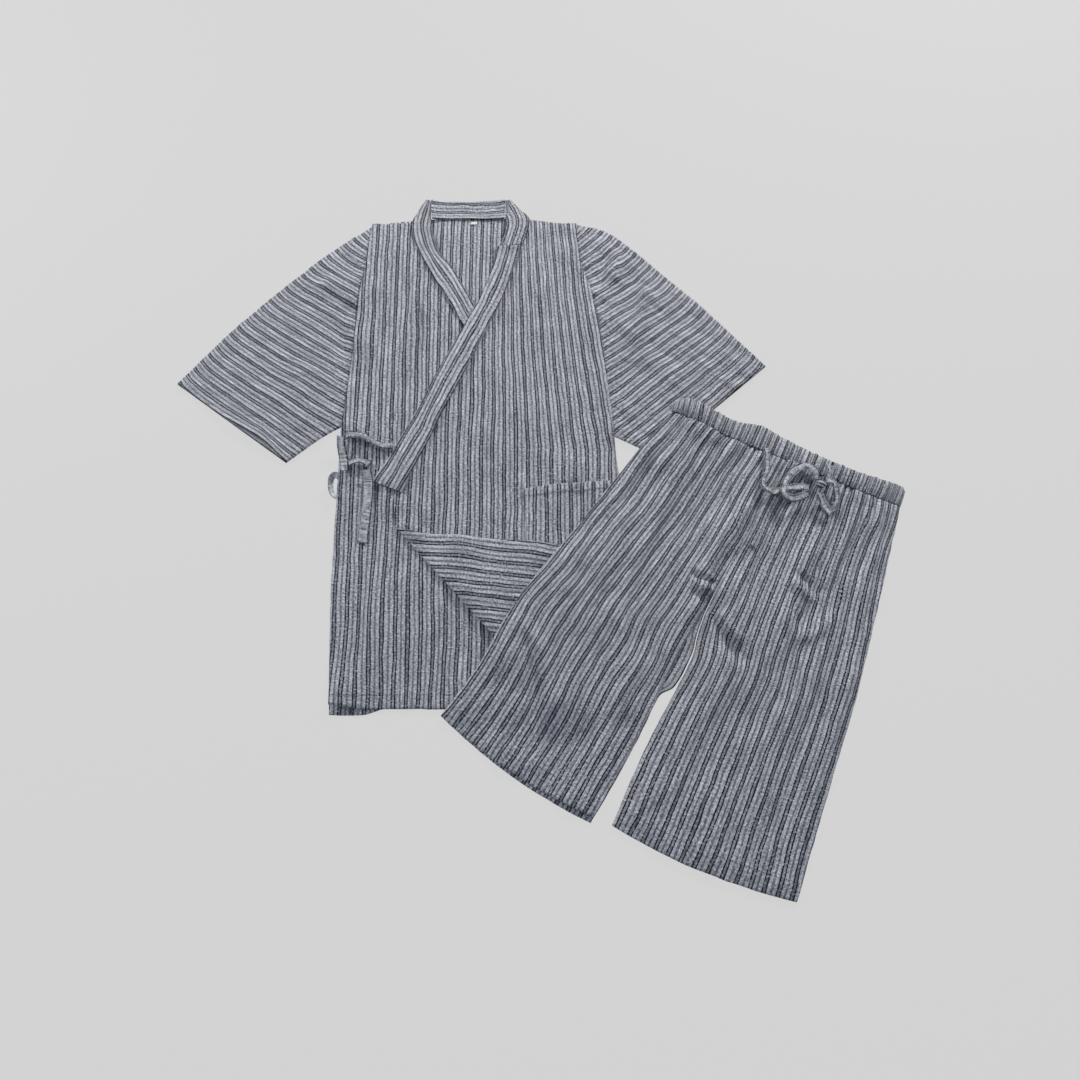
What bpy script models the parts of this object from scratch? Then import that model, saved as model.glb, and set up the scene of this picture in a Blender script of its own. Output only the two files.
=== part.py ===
"""A jinbei set laid flat: a short-sleeved wrap jacket, and elastic-waist shorts on its lower corner.

Every cut piece is one closed wall of cloth. The pieces are laid in order, each resting on whatever
is already under it, so the heights follow from the order of laying. Lengths are in metres.
"""
import math
from collections import namedtuple

import bmesh
import bpy
from mathutils import Matrix, Vector
from mathutils.bvhtree import BVHTree

# Thicknesses
WALL = 0.0010           # one layer of crinkled cotton
BAND = 0.0020           # collar band and waist casing, where the cloth is folded on itself
TAPE = 0.0012           # ties and drawstring
LABEL_WALL = 0.0006

# Clearances
GAP = 0.0004            # between a piece and what it rests on
DRAPE_SLOPE = 0.25      # fall per metre of plan where a panel comes down off an edge under it
PANEL_FEEL = 0.008      # spacing of the points at which a panel feels the ground
TAPE_SLOPE = 1.5        # the same two for a tape, which bends more sharply
TAPE_FEEL = 0.003

# Where each garment lies: the middle of the back neck seam, and the middle of the waist
JACKET_AT = (-0.1045, 0.486)
JACKET_TURN = 0.0
SHORTS_AT = (0.3705, 0.089)
SHORTS_TURN = math.radians(-25.0)

# Jacket
CORNER_FOLD = (-0.0880, -0.5200)              # upper end of the turned-back corner's fold
CORNER_FOLD_TURN = math.radians(-47.8)
CORNER_ROLL = 0.0017                          # radius of that fold
SLEEVE_HEIGHT = 0.0033
TIE_WIDTH = 0.015
TIE_LOOP_WIDTH = 0.010
LABEL_SIZE = (0.010, 0.006)

# Shorts
WAIST_STACK = 0.0070                          # the flattened casing, front on back
CORD_WIDTH = 0.0115
KNOT_SIZE = (0.0130, 0.0110, 0.0080)

# A section runs from a left point to a right point, seen from above, in the garment's own frame.
Section = namedtuple("Section", "left_x left_y right_x right_y")

JACKET_BACK = [
    Section(-0.1520, -0.0095, 0.1735, -0.0095),
    Section(-0.1580, -0.0700, 0.1770, -0.0720),
    Section(-0.1635, -0.1450, 0.1970, -0.1460),
    Section(-0.1700, -0.2670, 0.2133, -0.2680),
    Section(-0.1780, -0.3770, 0.2240, -0.3790),
    Section(-0.1770, -0.5070, 0.2350, -0.5090),
    Section(-0.1752, -0.6400, 0.2430, -0.6400),
    Section(-0.1665, -0.7830, 0.2450, -0.7770),
]
BACK_NECK_RISE = 0.0150                       # the back neck seam above the shoulder points
BACK_HEM_SAG = 0.0030
LEG_HEM_SAG = 0.0100

FRONT_RIGHT = [
    Section(-0.1520, -0.0090, -0.0880, -0.0050),
    Section(-0.1580, -0.0700, -0.0660, -0.0700),
    Section(-0.1635, -0.1450, -0.0240, -0.1450),
    Section(-0.1668, -0.2200, 0.0160, -0.2200),
    Section(-0.1718, -0.2950, 0.0580, -0.2950),
    Section(-0.1780, -0.3770, 0.1040, -0.3770),
    Section(-0.1782, -0.4500, 0.1420, -0.4500),
    Section(-0.1770, -0.5400, 0.1420, -0.5400),
    Section(-0.1752, -0.6400, 0.1420, -0.6400),
    Section(-0.1665, -0.7760, 0.1400, -0.7740),
]

FRONT_LEFT = [
    Section(0.0930, 0.0020, 0.1735, -0.0090),
    Section(0.0620, -0.0750, 0.1770, -0.0740),
    Section(0.0360, -0.1450, 0.1970, -0.1460),
    Section(-0.0030, -0.2350, 0.2105, -0.2350),
    Section(-0.0420, -0.3250, 0.2190, -0.3250),
    Section(-0.0770, -0.4050, 0.2262, -0.4050),
    Section(-0.0940, -0.4700, 0.2320, -0.4700),
    Section(-0.0880, -0.5500, 0.2380, -0.5600),
    Section(-0.0870, -0.6600, 0.2435, -0.6600),
    Section(-0.0870, -0.7770, 0.2445, -0.7770),
]

# Sleeve sections run from the fold along the top of the arm to the underarm seam. The first one lies
# just inside the armhole, under the front.
SLEEVE_RIGHT = [
    Section(-0.1490, -0.0085, -0.1745, -0.3600),
    Section(-0.2050, -0.0525, -0.1945, -0.3720),
    Section(-0.2760, -0.1180, -0.2145, -0.3860),
    Section(-0.3520, -0.1970, -0.2350, -0.4030),
    Section(-0.4300, -0.2915, -0.2550, -0.4195),
]
SLEEVE_LEFT = [
    Section(0.1700, -0.0080, 0.2215, -0.3760),
    Section(0.2280, -0.0280, 0.2390, -0.3850),
    Section(0.3050, -0.1000, 0.2545, -0.3930),
    Section(0.3800, -0.1760, 0.2695, -0.4010),
    Section(0.4560, -0.2620, 0.2850, -0.4100),
]

# Collar sections run across the band.
COLLAR_RIGHT = [
    Section(-0.0690, 0.0400, -0.0618, 0.0385),
    Section(-0.0800, 0.0180, -0.0600, 0.0100),
    Section(-0.0885, -0.0060, -0.0565, -0.0180),
    Section(-0.0850, -0.0360, -0.0500, -0.0430),
    Section(-0.0760, -0.0600, -0.0410, -0.0660),
    Section(-0.0450, -0.1180, -0.0170, -0.1000),
    Section(-0.0070, -0.1860, 0.0206, -0.1680),
    Section(0.0600, -0.3000, 0.0880, -0.2820),
    Section(0.1280, -0.4220, 0.1560, -0.4040),
    Section(0.1400, -0.4480, 0.1760, -0.4340),
]
COLLAR_LEFT_NECK = [
    Section(0.0605, 0.0385, 0.0662, 0.0395),
    Section(0.0602, 0.0180, 0.0815, 0.0220),
    Section(0.0595, -0.0020, 0.0980, 0.0020),
    Section(0.0570, -0.0260, 0.0955, -0.0230),
    Section(0.0520, -0.0485, 0.0870, -0.0490),
]
COLLAR_LEFT = [
    Section(0.0470, -0.0507, 0.0850, -0.0512),
    Section(0.0370, -0.1025, 0.0668, -0.1135),
    Section(0.0070, -0.1795, 0.0380, -0.1915),
    Section(-0.0290, -0.2525, 0.0010, -0.2770),
    Section(-0.0730, -0.3485, -0.0425, -0.3735),
    Section(-0.1085, -0.4195, -0.0705, -0.4380),
    Section(-0.1275, -0.4500, -0.0835, -0.4685),
]
COLLAR_BACK = [
    Section(-0.0608, 0.0385, 0.0598, 0.0395),
    Section(-0.0596, 0.0170, 0.0594, 0.0180),
    Section(-0.0570, 0.0012, 0.0586, 0.0016),
]
COLLAR_BACK_DIP = -0.0035

POCKET = [
    Section(0.0920, -0.4625, 0.2180, -0.4485),
    Section(0.0940, -0.5325, 0.2220, -0.5225),
    Section(0.0960, -0.6025, 0.2260, -0.5945),
]

SHORTS_FRONT_RIGHT = [
    Section(-0.1740, -0.0200, 0.0070, -0.0210),
    Section(-0.1930, -0.0900, 0.0010, -0.0950),
    Section(-0.2140, -0.1860, -0.0090, -0.1900),
    Section(-0.2350, -0.2800, -0.0190, -0.2850),
    Section(-0.2500, -0.3400, -0.0268, -0.3450),
    Section(-0.2600, -0.4000, -0.0298, -0.4050),
    Section(-0.2660, -0.4750, -0.0345, -0.4850),
    Section(-0.2820, -0.5590, -0.0460, -0.5910),
]
SHORTS_FRONT_LEFT = [
    Section(0.0076, -0.0210, 0.1790, -0.0190),
    Section(0.0016, -0.0950, 0.1880, -0.0850),
    Section(-0.0084, -0.1900, 0.1990, -0.1800),
    Section(-0.0150, -0.2850, 0.2090, -0.2750),
    Section(-0.0085, -0.3450, 0.2130, -0.3300),
    Section(-0.0125, -0.4050, 0.2160, -0.3900),
    Section(-0.0188, -0.4850, 0.2210, -0.4750),
    Section(-0.0205, -0.5905, 0.2270, -0.5760),
]
# The back of the right leg also fills the space between the inseams, down to the crotch point.
SHORTS_BACK_RIGHT = [
    Section(-0.1740, -0.0200, 0.0070, -0.0210),
    Section(-0.1930, -0.0900, 0.0010, -0.0950),
    Section(-0.2140, -0.1860, -0.0090, -0.1900),
    Section(-0.2350, -0.2800, -0.0160, -0.2850),
    Section(-0.2480, -0.3350, -0.0105, -0.3400),
    Section(-0.2585, -0.3800, -0.0140, -0.3880),
    Section(-0.2600, -0.4050, -0.0285, -0.4120),
    Section(-0.2635, -0.4500, -0.0310, -0.4560),
    Section(-0.2690, -0.5000, -0.0360, -0.5200),
    Section(-0.2820, -0.5590, -0.0460, -0.5990),
]

# Waistband sections run from the top edge to the leg seam, and the table runs from side to side.
WAISTBAND = [
    Section(-0.1750, -0.0060, -0.1735, -0.0195),
    Section(-0.1560, 0.0100, -0.1500, -0.0195),
    Section(-0.1200, 0.0080, -0.1180, -0.0195),
    Section(-0.0780, 0.0085, -0.0780, -0.0195),
    Section(-0.0440, 0.0165, -0.0440, -0.0195),
    Section(-0.0090, 0.0115, -0.0090, -0.0195),
    Section(0.0280, 0.0085, 0.0280, -0.0195),
    Section(0.0670, 0.0070, 0.0670, -0.0195),
    Section(0.1090, 0.0080, 0.1090, -0.0190),
    Section(0.1450, 0.0105, 0.1440, -0.0185),
    Section(0.1690, 0.0130, 0.1690, -0.0180),
    Section(0.1790, 0.0070, 0.1800, -0.0180),
]

# Tape routes: lift is above what lies under it. Tilt is 0 flat and 90 on edge, its right edge raised.
Route = namedtuple("Route", "x y lift tilt")

TIES = {
    "tie_front": [
        Route(-0.0995, -0.3958, 0.0000, -10),
        Route(-0.1112, -0.3966, 0.0000, -35),
        Route(-0.1232, -0.3934, 0.0010, -42),
        Route(-0.1338, -0.3870, 0.0010, -42),
        Route(-0.1452, -0.3814, 0.0005, -35),
        Route(-0.1594, -0.3790, 0.0000, -25),
        Route(-0.1690, -0.3795, 0.0000, -10),
    ],
    "tie_side_fold": [
        Route(-0.1735, -0.3850, 0.0000, 35),
        Route(-0.1730, -0.3976, 0.0000, 30),
        Route(-0.1700, -0.4135, 0.0000, 12),
        Route(-0.1675, -0.4277, 0.0000, 12),
        Route(-0.1665, -0.4355, 0.0000, 25),
    ],
    "tie_side_loop": [
        Route(-0.1730, -0.4459, 0.0000, 25),
        Route(-0.1805, -0.4430, 0.0000, 40),
        Route(-0.1860, -0.4480, 0.0000, 48),
        Route(-0.1860, -0.4598, 0.0000, 48),
        Route(-0.1825, -0.4700, 0.0000, 42),
        Route(-0.1755, -0.4753, 0.0000, 30),
    ],
    "tie_cross": [
        Route(-0.1610, -0.4250, 0.0000, 15),
        Route(-0.1550, -0.4225, 0.0000, 30),
        Route(-0.1470, -0.4205, 0.0000, 36),
        Route(-0.1390, -0.4215, 0.0000, 36),
        Route(-0.1315, -0.4260, 0.0000, 15),
    ],
    "tie_tail": [
        Route(-0.1345, -0.4370, 0.0000, 10),
        Route(-0.1318, -0.4560, 0.0000, 0),
        Route(-0.1327, -0.4929, 0.0000, 0),
        Route(-0.1358, -0.5430, 0.0000, 0),
    ],
}

CORDS = {
    "drawstring_lead_right": [
        Route(-0.0266, -0.0183, 0.0000, 30),
        Route(-0.0199, -0.0327, 0.0005, 48),
        Route(-0.0150, -0.0478, 0.0005, 48),
        Route(-0.0136, -0.0630, 0.0005, 45),
        Route(-0.0112, -0.0743, 0.0005, 40),
        Route(-0.0026, -0.0788, 0.0005, 40),
        Route(0.0069, -0.0774, 0.0000, 30),
        Route(0.0160, -0.0700, 0.0000, 15),
        Route(0.0280, -0.0600, 0.0000, 5),
        Route(0.0400, -0.0530, 0.0000, 5),
        Route(0.0500, -0.0490, 0.0005, 10),
    ],
    "drawstring_loop_right": [
        Route(0.0550, -0.0345, 0.0005, -10),
        Route(0.0500, -0.0250, 0.0005, -50),
        Route(0.0396, -0.0200, 0.0000, -32),
        Route(0.0297, -0.0248, 0.0000, -20),
        Route(0.0219, -0.0361, 0.0000, -15),
        Route(0.0170, -0.0522, 0.0000, -12),
        Route(0.0168, -0.0680, 0.0000, -20),
        Route(0.0225, -0.0780, 0.0000, -35),
        Route(0.0325, -0.0780, 0.0000, -50),
        Route(0.0429, -0.0700, 0.0000, -50),
        Route(0.0510, -0.0610, 0.0000, -30),
    ],
    "drawstring_lead_left": [
        Route(0.0636, -0.0072, 0.0000, 20),
        Route(0.0682, -0.0180, 0.0005, 35),
        Route(0.0684, -0.0316, 0.0005, 20),
    ],
    "drawstring_loop_left": [
        Route(0.0680, -0.0335, 0.0005, 10),
        Route(0.0790, -0.0325, 0.0000, 28),
        Route(0.0880, -0.0410, 0.0000, 34),
        Route(0.0925, -0.0530, 0.0000, 36),
        Route(0.0905, -0.0635, 0.0000, 42),
        Route(0.0830, -0.0630, 0.0000, 42),
        Route(0.0755, -0.0580, 0.0000, 30),
        Route(0.0700, -0.0520, 0.0005, 10),
    ],
    "drawstring_tail_left": [
        Route(0.0650, -0.0560, 0.0005, 20),
        Route(0.0736, -0.0645, 0.0000, 15),
        Route(0.0828, -0.0710, 0.0000, 10),
        Route(0.0904, -0.0760, 0.0000, 0),
    ],
}
KNOT_AT = (0.0620, -0.0440)

# Soft folds that stand up from a panel, from one point to another
Fold = namedtuple("Fold", "x0 y0 x1 y1 width rise")

FOLDS = {
    "sleeve_right": [
        Fold(-0.260, -0.110, -0.175, -0.165, 0.030, 0.0025),
        Fold(-0.310, -0.330, -0.300, -0.390, 0.026, 0.0020),
    ],
    "sleeve_left": [
        Fold(0.280, -0.100, 0.245, -0.330, 0.034, 0.0030),
        Fold(0.200, -0.040, 0.230, -0.150, 0.026, 0.0020),
    ],
    "jacket_front_right": [Fold(-0.130, -0.050, -0.120, -0.330, 0.040, 0.0020)],
    "jacket_front_left": [
        Fold(0.115, -0.040, 0.140, -0.330, 0.040, 0.0020),
        Fold(0.170, -0.200, 0.180, -0.440, 0.036, 0.0015),
    ],
    "shorts_front_right": [
        Fold(-0.120, -0.040, -0.170, -0.330, 0.040, 0.0025),
        Fold(-0.225, -0.455, -0.140, -0.560, 0.036, 0.0040),
        Fold(-0.050, -0.060, -0.080, -0.300, 0.036, 0.0020),
    ],
    "shorts_front_left": [
        Fold(0.020, -0.280, 0.075, -0.330, 0.036, 0.0030),
        Fold(0.110, -0.050, 0.130, -0.360, 0.040, 0.0025),
    ],
}

CLOTH_COLOUR = (0.155, 0.165, 0.205)
CLOTH_DARK = (0.105, 0.115, 0.150)
LABEL_COLOUR = (0.85, 0.85, 0.84)
CLOTH_ROUGHNESS = 0.85


def smooth_row(table, t):
    """The table's columns at t from 0 to 1, on a smooth curve through its rows."""
    span = t * (len(table) - 1)
    i = min(int(span), len(table) - 2)
    f = span - i
    last = len(table) - 1
    a, b, c, d = (table[max(0, min(last, i + k))] for k in (-1, 0, 1, 2))
    values = []
    for p, q, r, s in zip(a, b, c, d):
        m0 = (r - p) / 2 if i > 0 else r - q
        m1 = (s - q) / 2 if i + 2 <= last else r - q
        values.append((2 * f**3 - 3 * f**2 + 1) * q + (f**3 - 2 * f**2 + f) * m0
                      + (3 * f**2 - 2 * f**3) * r + (f**3 - f**2) * m1)
    return type(table[0])(*values)


def fold_rise(folds, x, y):
    """Height that the folds add at a point: rounded across, fading out at both ends."""
    rise = 0.0
    for fold in folds:
        along = Vector((fold.x1 - fold.x0, fold.y1 - fold.y0))
        offset = Vector((x - fold.x0, y - fold.y0))
        t = offset.dot(along) / along.length_squared
        across = (offset - t * along).length
        if 0 < t < 1 and across < fold.width:
            rise += fold.rise * math.sin(math.pi * t) * math.cos(math.pi / 2 * across / fold.width) ** 2
    return rise


class Ground:
    """Everything laid so far. It tells how high the next piece has to lie."""

    def __init__(self):
        self.layers = []
        self.held = []

    def release(self):
        """Let the next pieces feel the layers that were held back."""
        self.layers += self.held
        self.held = []

    def add(self, sheet, place, thickness, hold=False):
        """Keep the top side of a sheet that is about to get its thickness."""
        lift = Vector((0, 0, thickness))
        corners = [place @ v.co + lift for v in sheet.verts]
        sheet.verts.index_update()
        faces = [[v.index for v in face.verts] for face in sheet.faces]
        (self.held if hold else self.layers).append(BVHTree.FromPolygons(corners, faces))

    def top(self, x, y):
        """Height of the uppermost layer at a point, or None on the bare surface."""
        hits = [layer.ray_cast(Vector((x, y, 0.2)), Vector((0, 0, -1)))[0] for layer in self.layers]
        heights = [hit.z for hit in hits if hit is not None]
        return max(heights) if heights else None

    def rest(self, x, y, reach, slope=DRAPE_SLOPE, feel=PANEL_FEEL):
        """Height at which a sheet rests, clear of every layer within reach of the point."""
        height = 0.0
        steps = math.ceil(reach * 1.6 / feel)
        for i in range(-steps, steps + 1):
            for j in range(-steps, steps + 1):
                away = math.hypot(i, j) * feel
                if away > steps * feel:
                    continue
                top = self.top(x + i * feel, y + j * feel)
                if top is not None:
                    height = max(height, top + GAP - slope * max(0.0, away - reach))
        return height


def new_grid(across, along):
    """A unit grid. Its u runs left to right, and its v runs from the top edge down."""
    sheet = bmesh.new()
    bmesh.ops.create_grid(sheet, x_segments=across, y_segments=along, size=0.5)
    return sheet


def grid_uv(vertex):
    return vertex.co.x + 0.5, 0.5 - vertex.co.y


def map_sections(sheet, table, top_rise=0.0, hem_sag=0.0):
    """Stretch a unit grid over the sections of a panel, flat at height 0."""
    for vertex in sheet.verts:
        u, v = grid_uv(vertex)
        row = smooth_row(table, v)
        bow = 4 * u * (1 - u) * (top_rise * max(0.0, 1 - 6 * v) - hem_sag * max(0.0, 6 * v - 5))
        vertex.co.x = row.left_x + (row.right_x - row.left_x) * u
        vertex.co.y = row.left_y + (row.right_y - row.left_y) * u + bow
        vertex.co.z = 0.0


def longest_side(sheet):
    return max(edge.calc_length() for edge in sheet.edges)


def lay(sheet, place, ground, folds=(), loft=0.0):
    """Give each point of a flat sheet the height at which it rests."""
    reach = longest_side(sheet) * 1.15
    middle = sum((v.co for v in sheet.verts), Vector()) / len(sheet.verts)
    spread = max((v.co - middle).length for v in sheet.verts)
    heights = []
    for vertex in sheet.verts:
        at = place @ vertex.co
        puff = loft * max(0.0, 1 - ((vertex.co - middle).length / spread) ** 2)
        rise = fold_rise(folds, vertex.co.x, vertex.co.y)
        heights.append(ground.rest(at.x, at.y, reach) + puff + rise)
    for vertex, height in zip(sheet.verts, heights):
        vertex.co.z = height


def add_material(obj, colour):
    material = bpy.data.materials.new(obj.name + "_cloth")
    material.use_nodes = True
    shader = material.node_tree.nodes["Principled BSDF"]
    shader.inputs["Base Color"].default_value = (*colour, 1.0)
    shader.inputs["Roughness"].default_value = CLOTH_ROUGHNESS
    shader.inputs["Metallic"].default_value = 0.0
    obj.data.materials.append(material)


def add_piece(name, sheet, garment, collection, thickness, offset, colour=CLOTH_COLOUR):
    """Turn a sheet into one named wall. Offset 1 grows along its normals, -1 against, 0 both ways."""
    mesh = bpy.data.meshes.new(name)
    sheet.to_mesh(mesh)
    sheet.free()
    obj = bpy.data.objects.new(name, mesh)
    collection.objects.link(obj)
    obj.parent = garment
    if thickness:
        wall = obj.modifiers.new("wall", "SOLIDIFY")
        wall.thickness = thickness
        wall.offset = offset
    add_material(obj, colour)
    return obj


class Builder:
    """Lays pieces in one garment's frame."""

    def __init__(self, garment, collection, ground):
        self.garment = garment
        self.place = garment.matrix_world.copy()
        self.collection = collection
        self.ground = ground

    def panel(self, name, table, across, along, thickness=WALL, loft=0.0, colour=CLOTH_COLOUR, **bow):
        sheet = new_grid(across, along)
        map_sections(sheet, table, **bow)
        lay(sheet, self.place, self.ground, FOLDS.get(name, ()), loft)
        self.ground.add(sheet, self.place, thickness)
        return add_piece(name, sheet, self.garment, self.collection, thickness, 1, colour)

    def tube(self, name, table, across, along, height, thickness, along_table=False, hold=False):
        """A flattened tube, open at both ends: a lower run, an upper run, and a rounded fold each side.

        The sections run across the tube, or along_table says that the table itself does.
        """
        sheet = new_grid(2 * across + 4, along)
        runs = across + 2
        ring = []
        for vertex in sheet.verts:
            u, v = grid_uv(vertex)
            step = round(u * (2 * across + 4))
            upper = step > runs
            k = (2 * runs - step if upper else step) / runs
            row, step_across = (smooth_row(table, k), v) if along_table else (smooth_row(table, v), k)
            side = math.sin(math.pi * k)
            level = height / 2 * (1 + (1 if upper else -1) * min(1.0, side * runs / 3))
            vertex.co.x = row.left_x + (row.right_x - row.left_x) * step_across
            vertex.co.y = row.left_y + (row.right_y - row.left_y) * step_across
            vertex.co.z = 0.0
            ring.append((vertex, level))
        reach = longest_side(sheet) * 1.15
        heights = []
        for vertex, level in ring:
            at = self.place @ vertex.co
            rise = fold_rise(FOLDS.get(name, ()), vertex.co.x, vertex.co.y) * (level > height / 2)
            heights.append(self.ground.rest(at.x, at.y, reach) + level + rise)
        for (vertex, _), z in zip(ring, heights):
            vertex.co.z = z
        bmesh.ops.remove_doubles(sheet, verts=sheet.verts, dist=0.00005)
        bmesh.ops.recalc_face_normals(sheet, faces=sheet.faces)
        turn_outward(sheet)
        self.ground.add(sheet, self.place, 0.0, hold)
        return add_piece(name, sheet, self.garment, self.collection, thickness, -1)

    def tape(self, name, table, width, along, thickness=TAPE, colour=CLOTH_DARK):
        """A narrow strip along a route, leaning by the route's tilt."""
        sheet = new_grid(1, along)
        points = [smooth_row(table, i / along) for i in range(along + 1)]
        rests = []
        for point in points:
            at = self.place @ Vector((point.x, point.y, 0))
            rests.append(self.ground.rest(at.x, at.y, width * 0.75, TAPE_SLOPE, TAPE_FEEL))
        for vertex in sheet.verts:
            u, v = grid_uv(vertex)
            i = round(v * along)
            before, after = points[max(0, i - 1)], points[min(along, i + 1)]
            forward = Vector((after.x - before.x, after.y - before.y, 0)).normalized()
            side = forward.cross(Vector((0, 0, 1)))
            tilt = math.radians(points[i].tilt)
            reach = (u - 0.5) * width
            foot = rests[i] + points[i].lift + thickness / 2 + abs(math.sin(tilt)) * width / 2
            level = Vector((points[i].x, points[i].y, foot))
            vertex.co = level + side * (reach * math.cos(tilt)) + Vector((0, 0, reach * math.sin(tilt)))
        self.ground.add(sheet, self.place, thickness / 2)
        return add_piece(name, sheet, self.garment, self.collection, thickness, 0, colour)


def turn_outward(sheet):
    """A flattened tube has its highest face looking up."""
    top = max(sheet.faces, key=lambda face: face.calc_center_median().z)
    if top.normal.z < 0:
        bmesh.ops.reverse_faces(sheet, faces=sheet.faces)


def build_front_with_turned_corner(jacket):
    """The outer front. Its lower corner is turned back over a slanting fold, on top of the pocket."""
    name = "jacket_front_left"
    sheet = new_grid(8, 18)
    map_sections(sheet, FRONT_LEFT)
    start = Vector((*CORNER_FOLD, 0))
    along = Vector((math.cos(CORNER_FOLD_TURN), math.sin(CORNER_FOLD_TURN), 0))
    beyond = Vector((along.y, -along.x, 0))
    roll_length = math.pi * CORNER_ROLL
    for part in (0.0, 0.25, 0.5, 0.75, 1.0):
        bmesh.ops.bisect_plane(sheet, geom=sheet.verts[:] + sheet.edges[:] + sheet.faces[:],
                               plane_co=start + beyond * (roll_length * part), plane_no=beyond)

    past = {v: (v.co - start).dot(beyond) for v in sheet.verts}
    feet = {v: v.co - beyond * past[v] for v in sheet.verts}
    reach = longest_side(sheet) * 1.15
    place, ground = jacket.place, jacket.ground

    def rest_at(point):
        at = place @ point
        return ground.rest(at.x, at.y, reach)

    lower = {}
    for v in sheet.verts:
        on_table = v.co if past[v] <= 0 else feet[v]
        lower[v] = rest_at(on_table) + fold_rise(FOLDS[name], on_table.x, on_table.y)
    base = sheet.copy()
    base.verts.ensure_lookup_table()
    for copy, v in zip(base.verts, sheet.verts):
        copy.co.z = lower[v]
    gone = [f for f in base.faces if (f.calc_center_median() - start).dot(beyond) > 0]
    bmesh.ops.delete(base, geom=gone, context="FACES")
    ground.add(base, place, WALL)
    base.free()

    jacket.panel("pocket", POCKET, 4, 4)

    for v in sheet.verts:
        if past[v] <= 1e-6:
            v.co.z = lower[v]
            continue
        turned = min(1.0, past[v] / roll_length)
        back = max(0.0, past[v] - roll_length)
        plan = feet[v] + beyond * (CORNER_ROLL * math.sin(math.pi * turned) - back)
        upper = rest_at(plan) + WALL
        v.co = plan
        v.co.z = lower[v] + (upper - lower[v]) * (1 - math.cos(math.pi * turned)) / 2
    ground.add(sheet, place, WALL / 4)
    return add_piece(name, sheet, jacket.garment, jacket.collection, WALL, 1)


def build_label(jacket):
    """A plain woven label under the middle of the neck seam."""
    across, down = LABEL_SIZE
    table = [Section(0.0045, -0.0020, 0.0045 + across, -0.0015),
             Section(0.0045, -0.0020 - down, 0.0045 + across, -0.0015 - down)]
    jacket.panel("neck_label", table, 2, 1, LABEL_WALL, colour=LABEL_COLOUR)


def build_jacket(jacket):
    jacket.panel("jacket_back", JACKET_BACK, 8, 14, top_rise=BACK_NECK_RISE, hem_sag=BACK_HEM_SAG)
    jacket.tube("sleeve_right", SLEEVE_RIGHT, 7, 7, SLEEVE_HEIGHT, WALL)
    jacket.tube("sleeve_left", SLEEVE_LEFT, 7, 7, SLEEVE_HEIGHT, WALL)
    build_label(jacket)
    jacket.panel("jacket_front_right", FRONT_RIGHT, 6, 16)
    jacket.panel("collar_right", COLLAR_RIGHT, 2, 18, BAND)
    build_front_with_turned_corner(jacket)
    jacket.panel("collar_left_neck", COLLAR_LEFT_NECK, 2, 5, BAND)
    jacket.panel("collar_left", COLLAR_LEFT, 2, 18, BAND)
    jacket.panel("collar_back", COLLAR_BACK, 8, 2, BAND, top_rise=COLLAR_BACK_DIP)
    for name, route in TIES.items():
        width = TIE_LOOP_WIDTH if name == "tie_side_loop" else TIE_WIDTH
        jacket.tape(name, route, width, 2 * len(route))


def build_knot(shorts):
    """The middle of the drawstring's bow."""
    ball = bmesh.new()
    bmesh.ops.create_uvsphere(ball, u_segments=12, v_segments=8, radius=0.5)
    bmesh.ops.scale(ball, vec=KNOT_SIZE, verts=ball.verts)
    at = shorts.place @ Vector((*KNOT_AT, 0))
    height = shorts.ground.rest(at.x, at.y, KNOT_SIZE[0] / 2, TAPE_SLOPE, TAPE_FEEL) + KNOT_SIZE[2] / 2
    bmesh.ops.translate(ball, vec=Vector((*KNOT_AT, height)), verts=ball.verts)
    add_piece("drawstring_knot", ball, shorts.garment, shorts.collection, 0, 0, CLOTH_DARK)


def build_shorts(shorts):
    """The casing is laid first, and the legs then feel only the jacket, so their seam stays level."""
    shorts.tube("waistband", WAISTBAND, 22, 2, WAIST_STACK, BAND, along_table=True, hold=True)
    shorts.panel("shorts_back_right", SHORTS_BACK_RIGHT, 8, 27, hem_sag=LEG_HEM_SAG)
    shorts.panel("shorts_back_left", SHORTS_FRONT_LEFT, 8, 16, hem_sag=LEG_HEM_SAG)
    shorts.panel("shorts_front_right", SHORTS_FRONT_RIGHT, 8, 16, hem_sag=LEG_HEM_SAG)
    shorts.panel("shorts_front_left", SHORTS_FRONT_LEFT, 8, 16, hem_sag=LEG_HEM_SAG)
    shorts.ground.release()
    for name, route in CORDS.items():
        shorts.tape(name, route, CORD_WIDTH, 2 * len(route))
    build_knot(shorts)


def add_garment(name, at, turn, collection):
    garment = bpy.data.objects.new(name, None)
    collection.objects.link(garment)
    garment.matrix_world = Matrix.Translation((*at, 0)) @ Matrix.Rotation(turn, 4, "Z")
    return garment


def centre_on_origin(garments, collection):
    """Move both garments so that the set's box stands on the origin by the middle of its base."""
    bpy.context.view_layer.update()
    depsgraph = bpy.context.evaluated_depsgraph_get()
    corners = []
    for obj in collection.objects:
        if obj.type == "MESH":
            shown = obj.evaluated_get(depsgraph)
            corners += [shown.matrix_world @ v.co for v in shown.data.vertices]
    low = [min(c[k] for c in corners) for k in range(3)]
    high = [max(c[k] for c in corners) for k in range(3)]
    shift = Vector((-(low[0] + high[0]) / 2, -(low[1] + high[1]) / 2, -low[2]))
    for garment in garments:
        garment.matrix_world = Matrix.Translation(shift) @ garment.matrix_world


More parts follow.
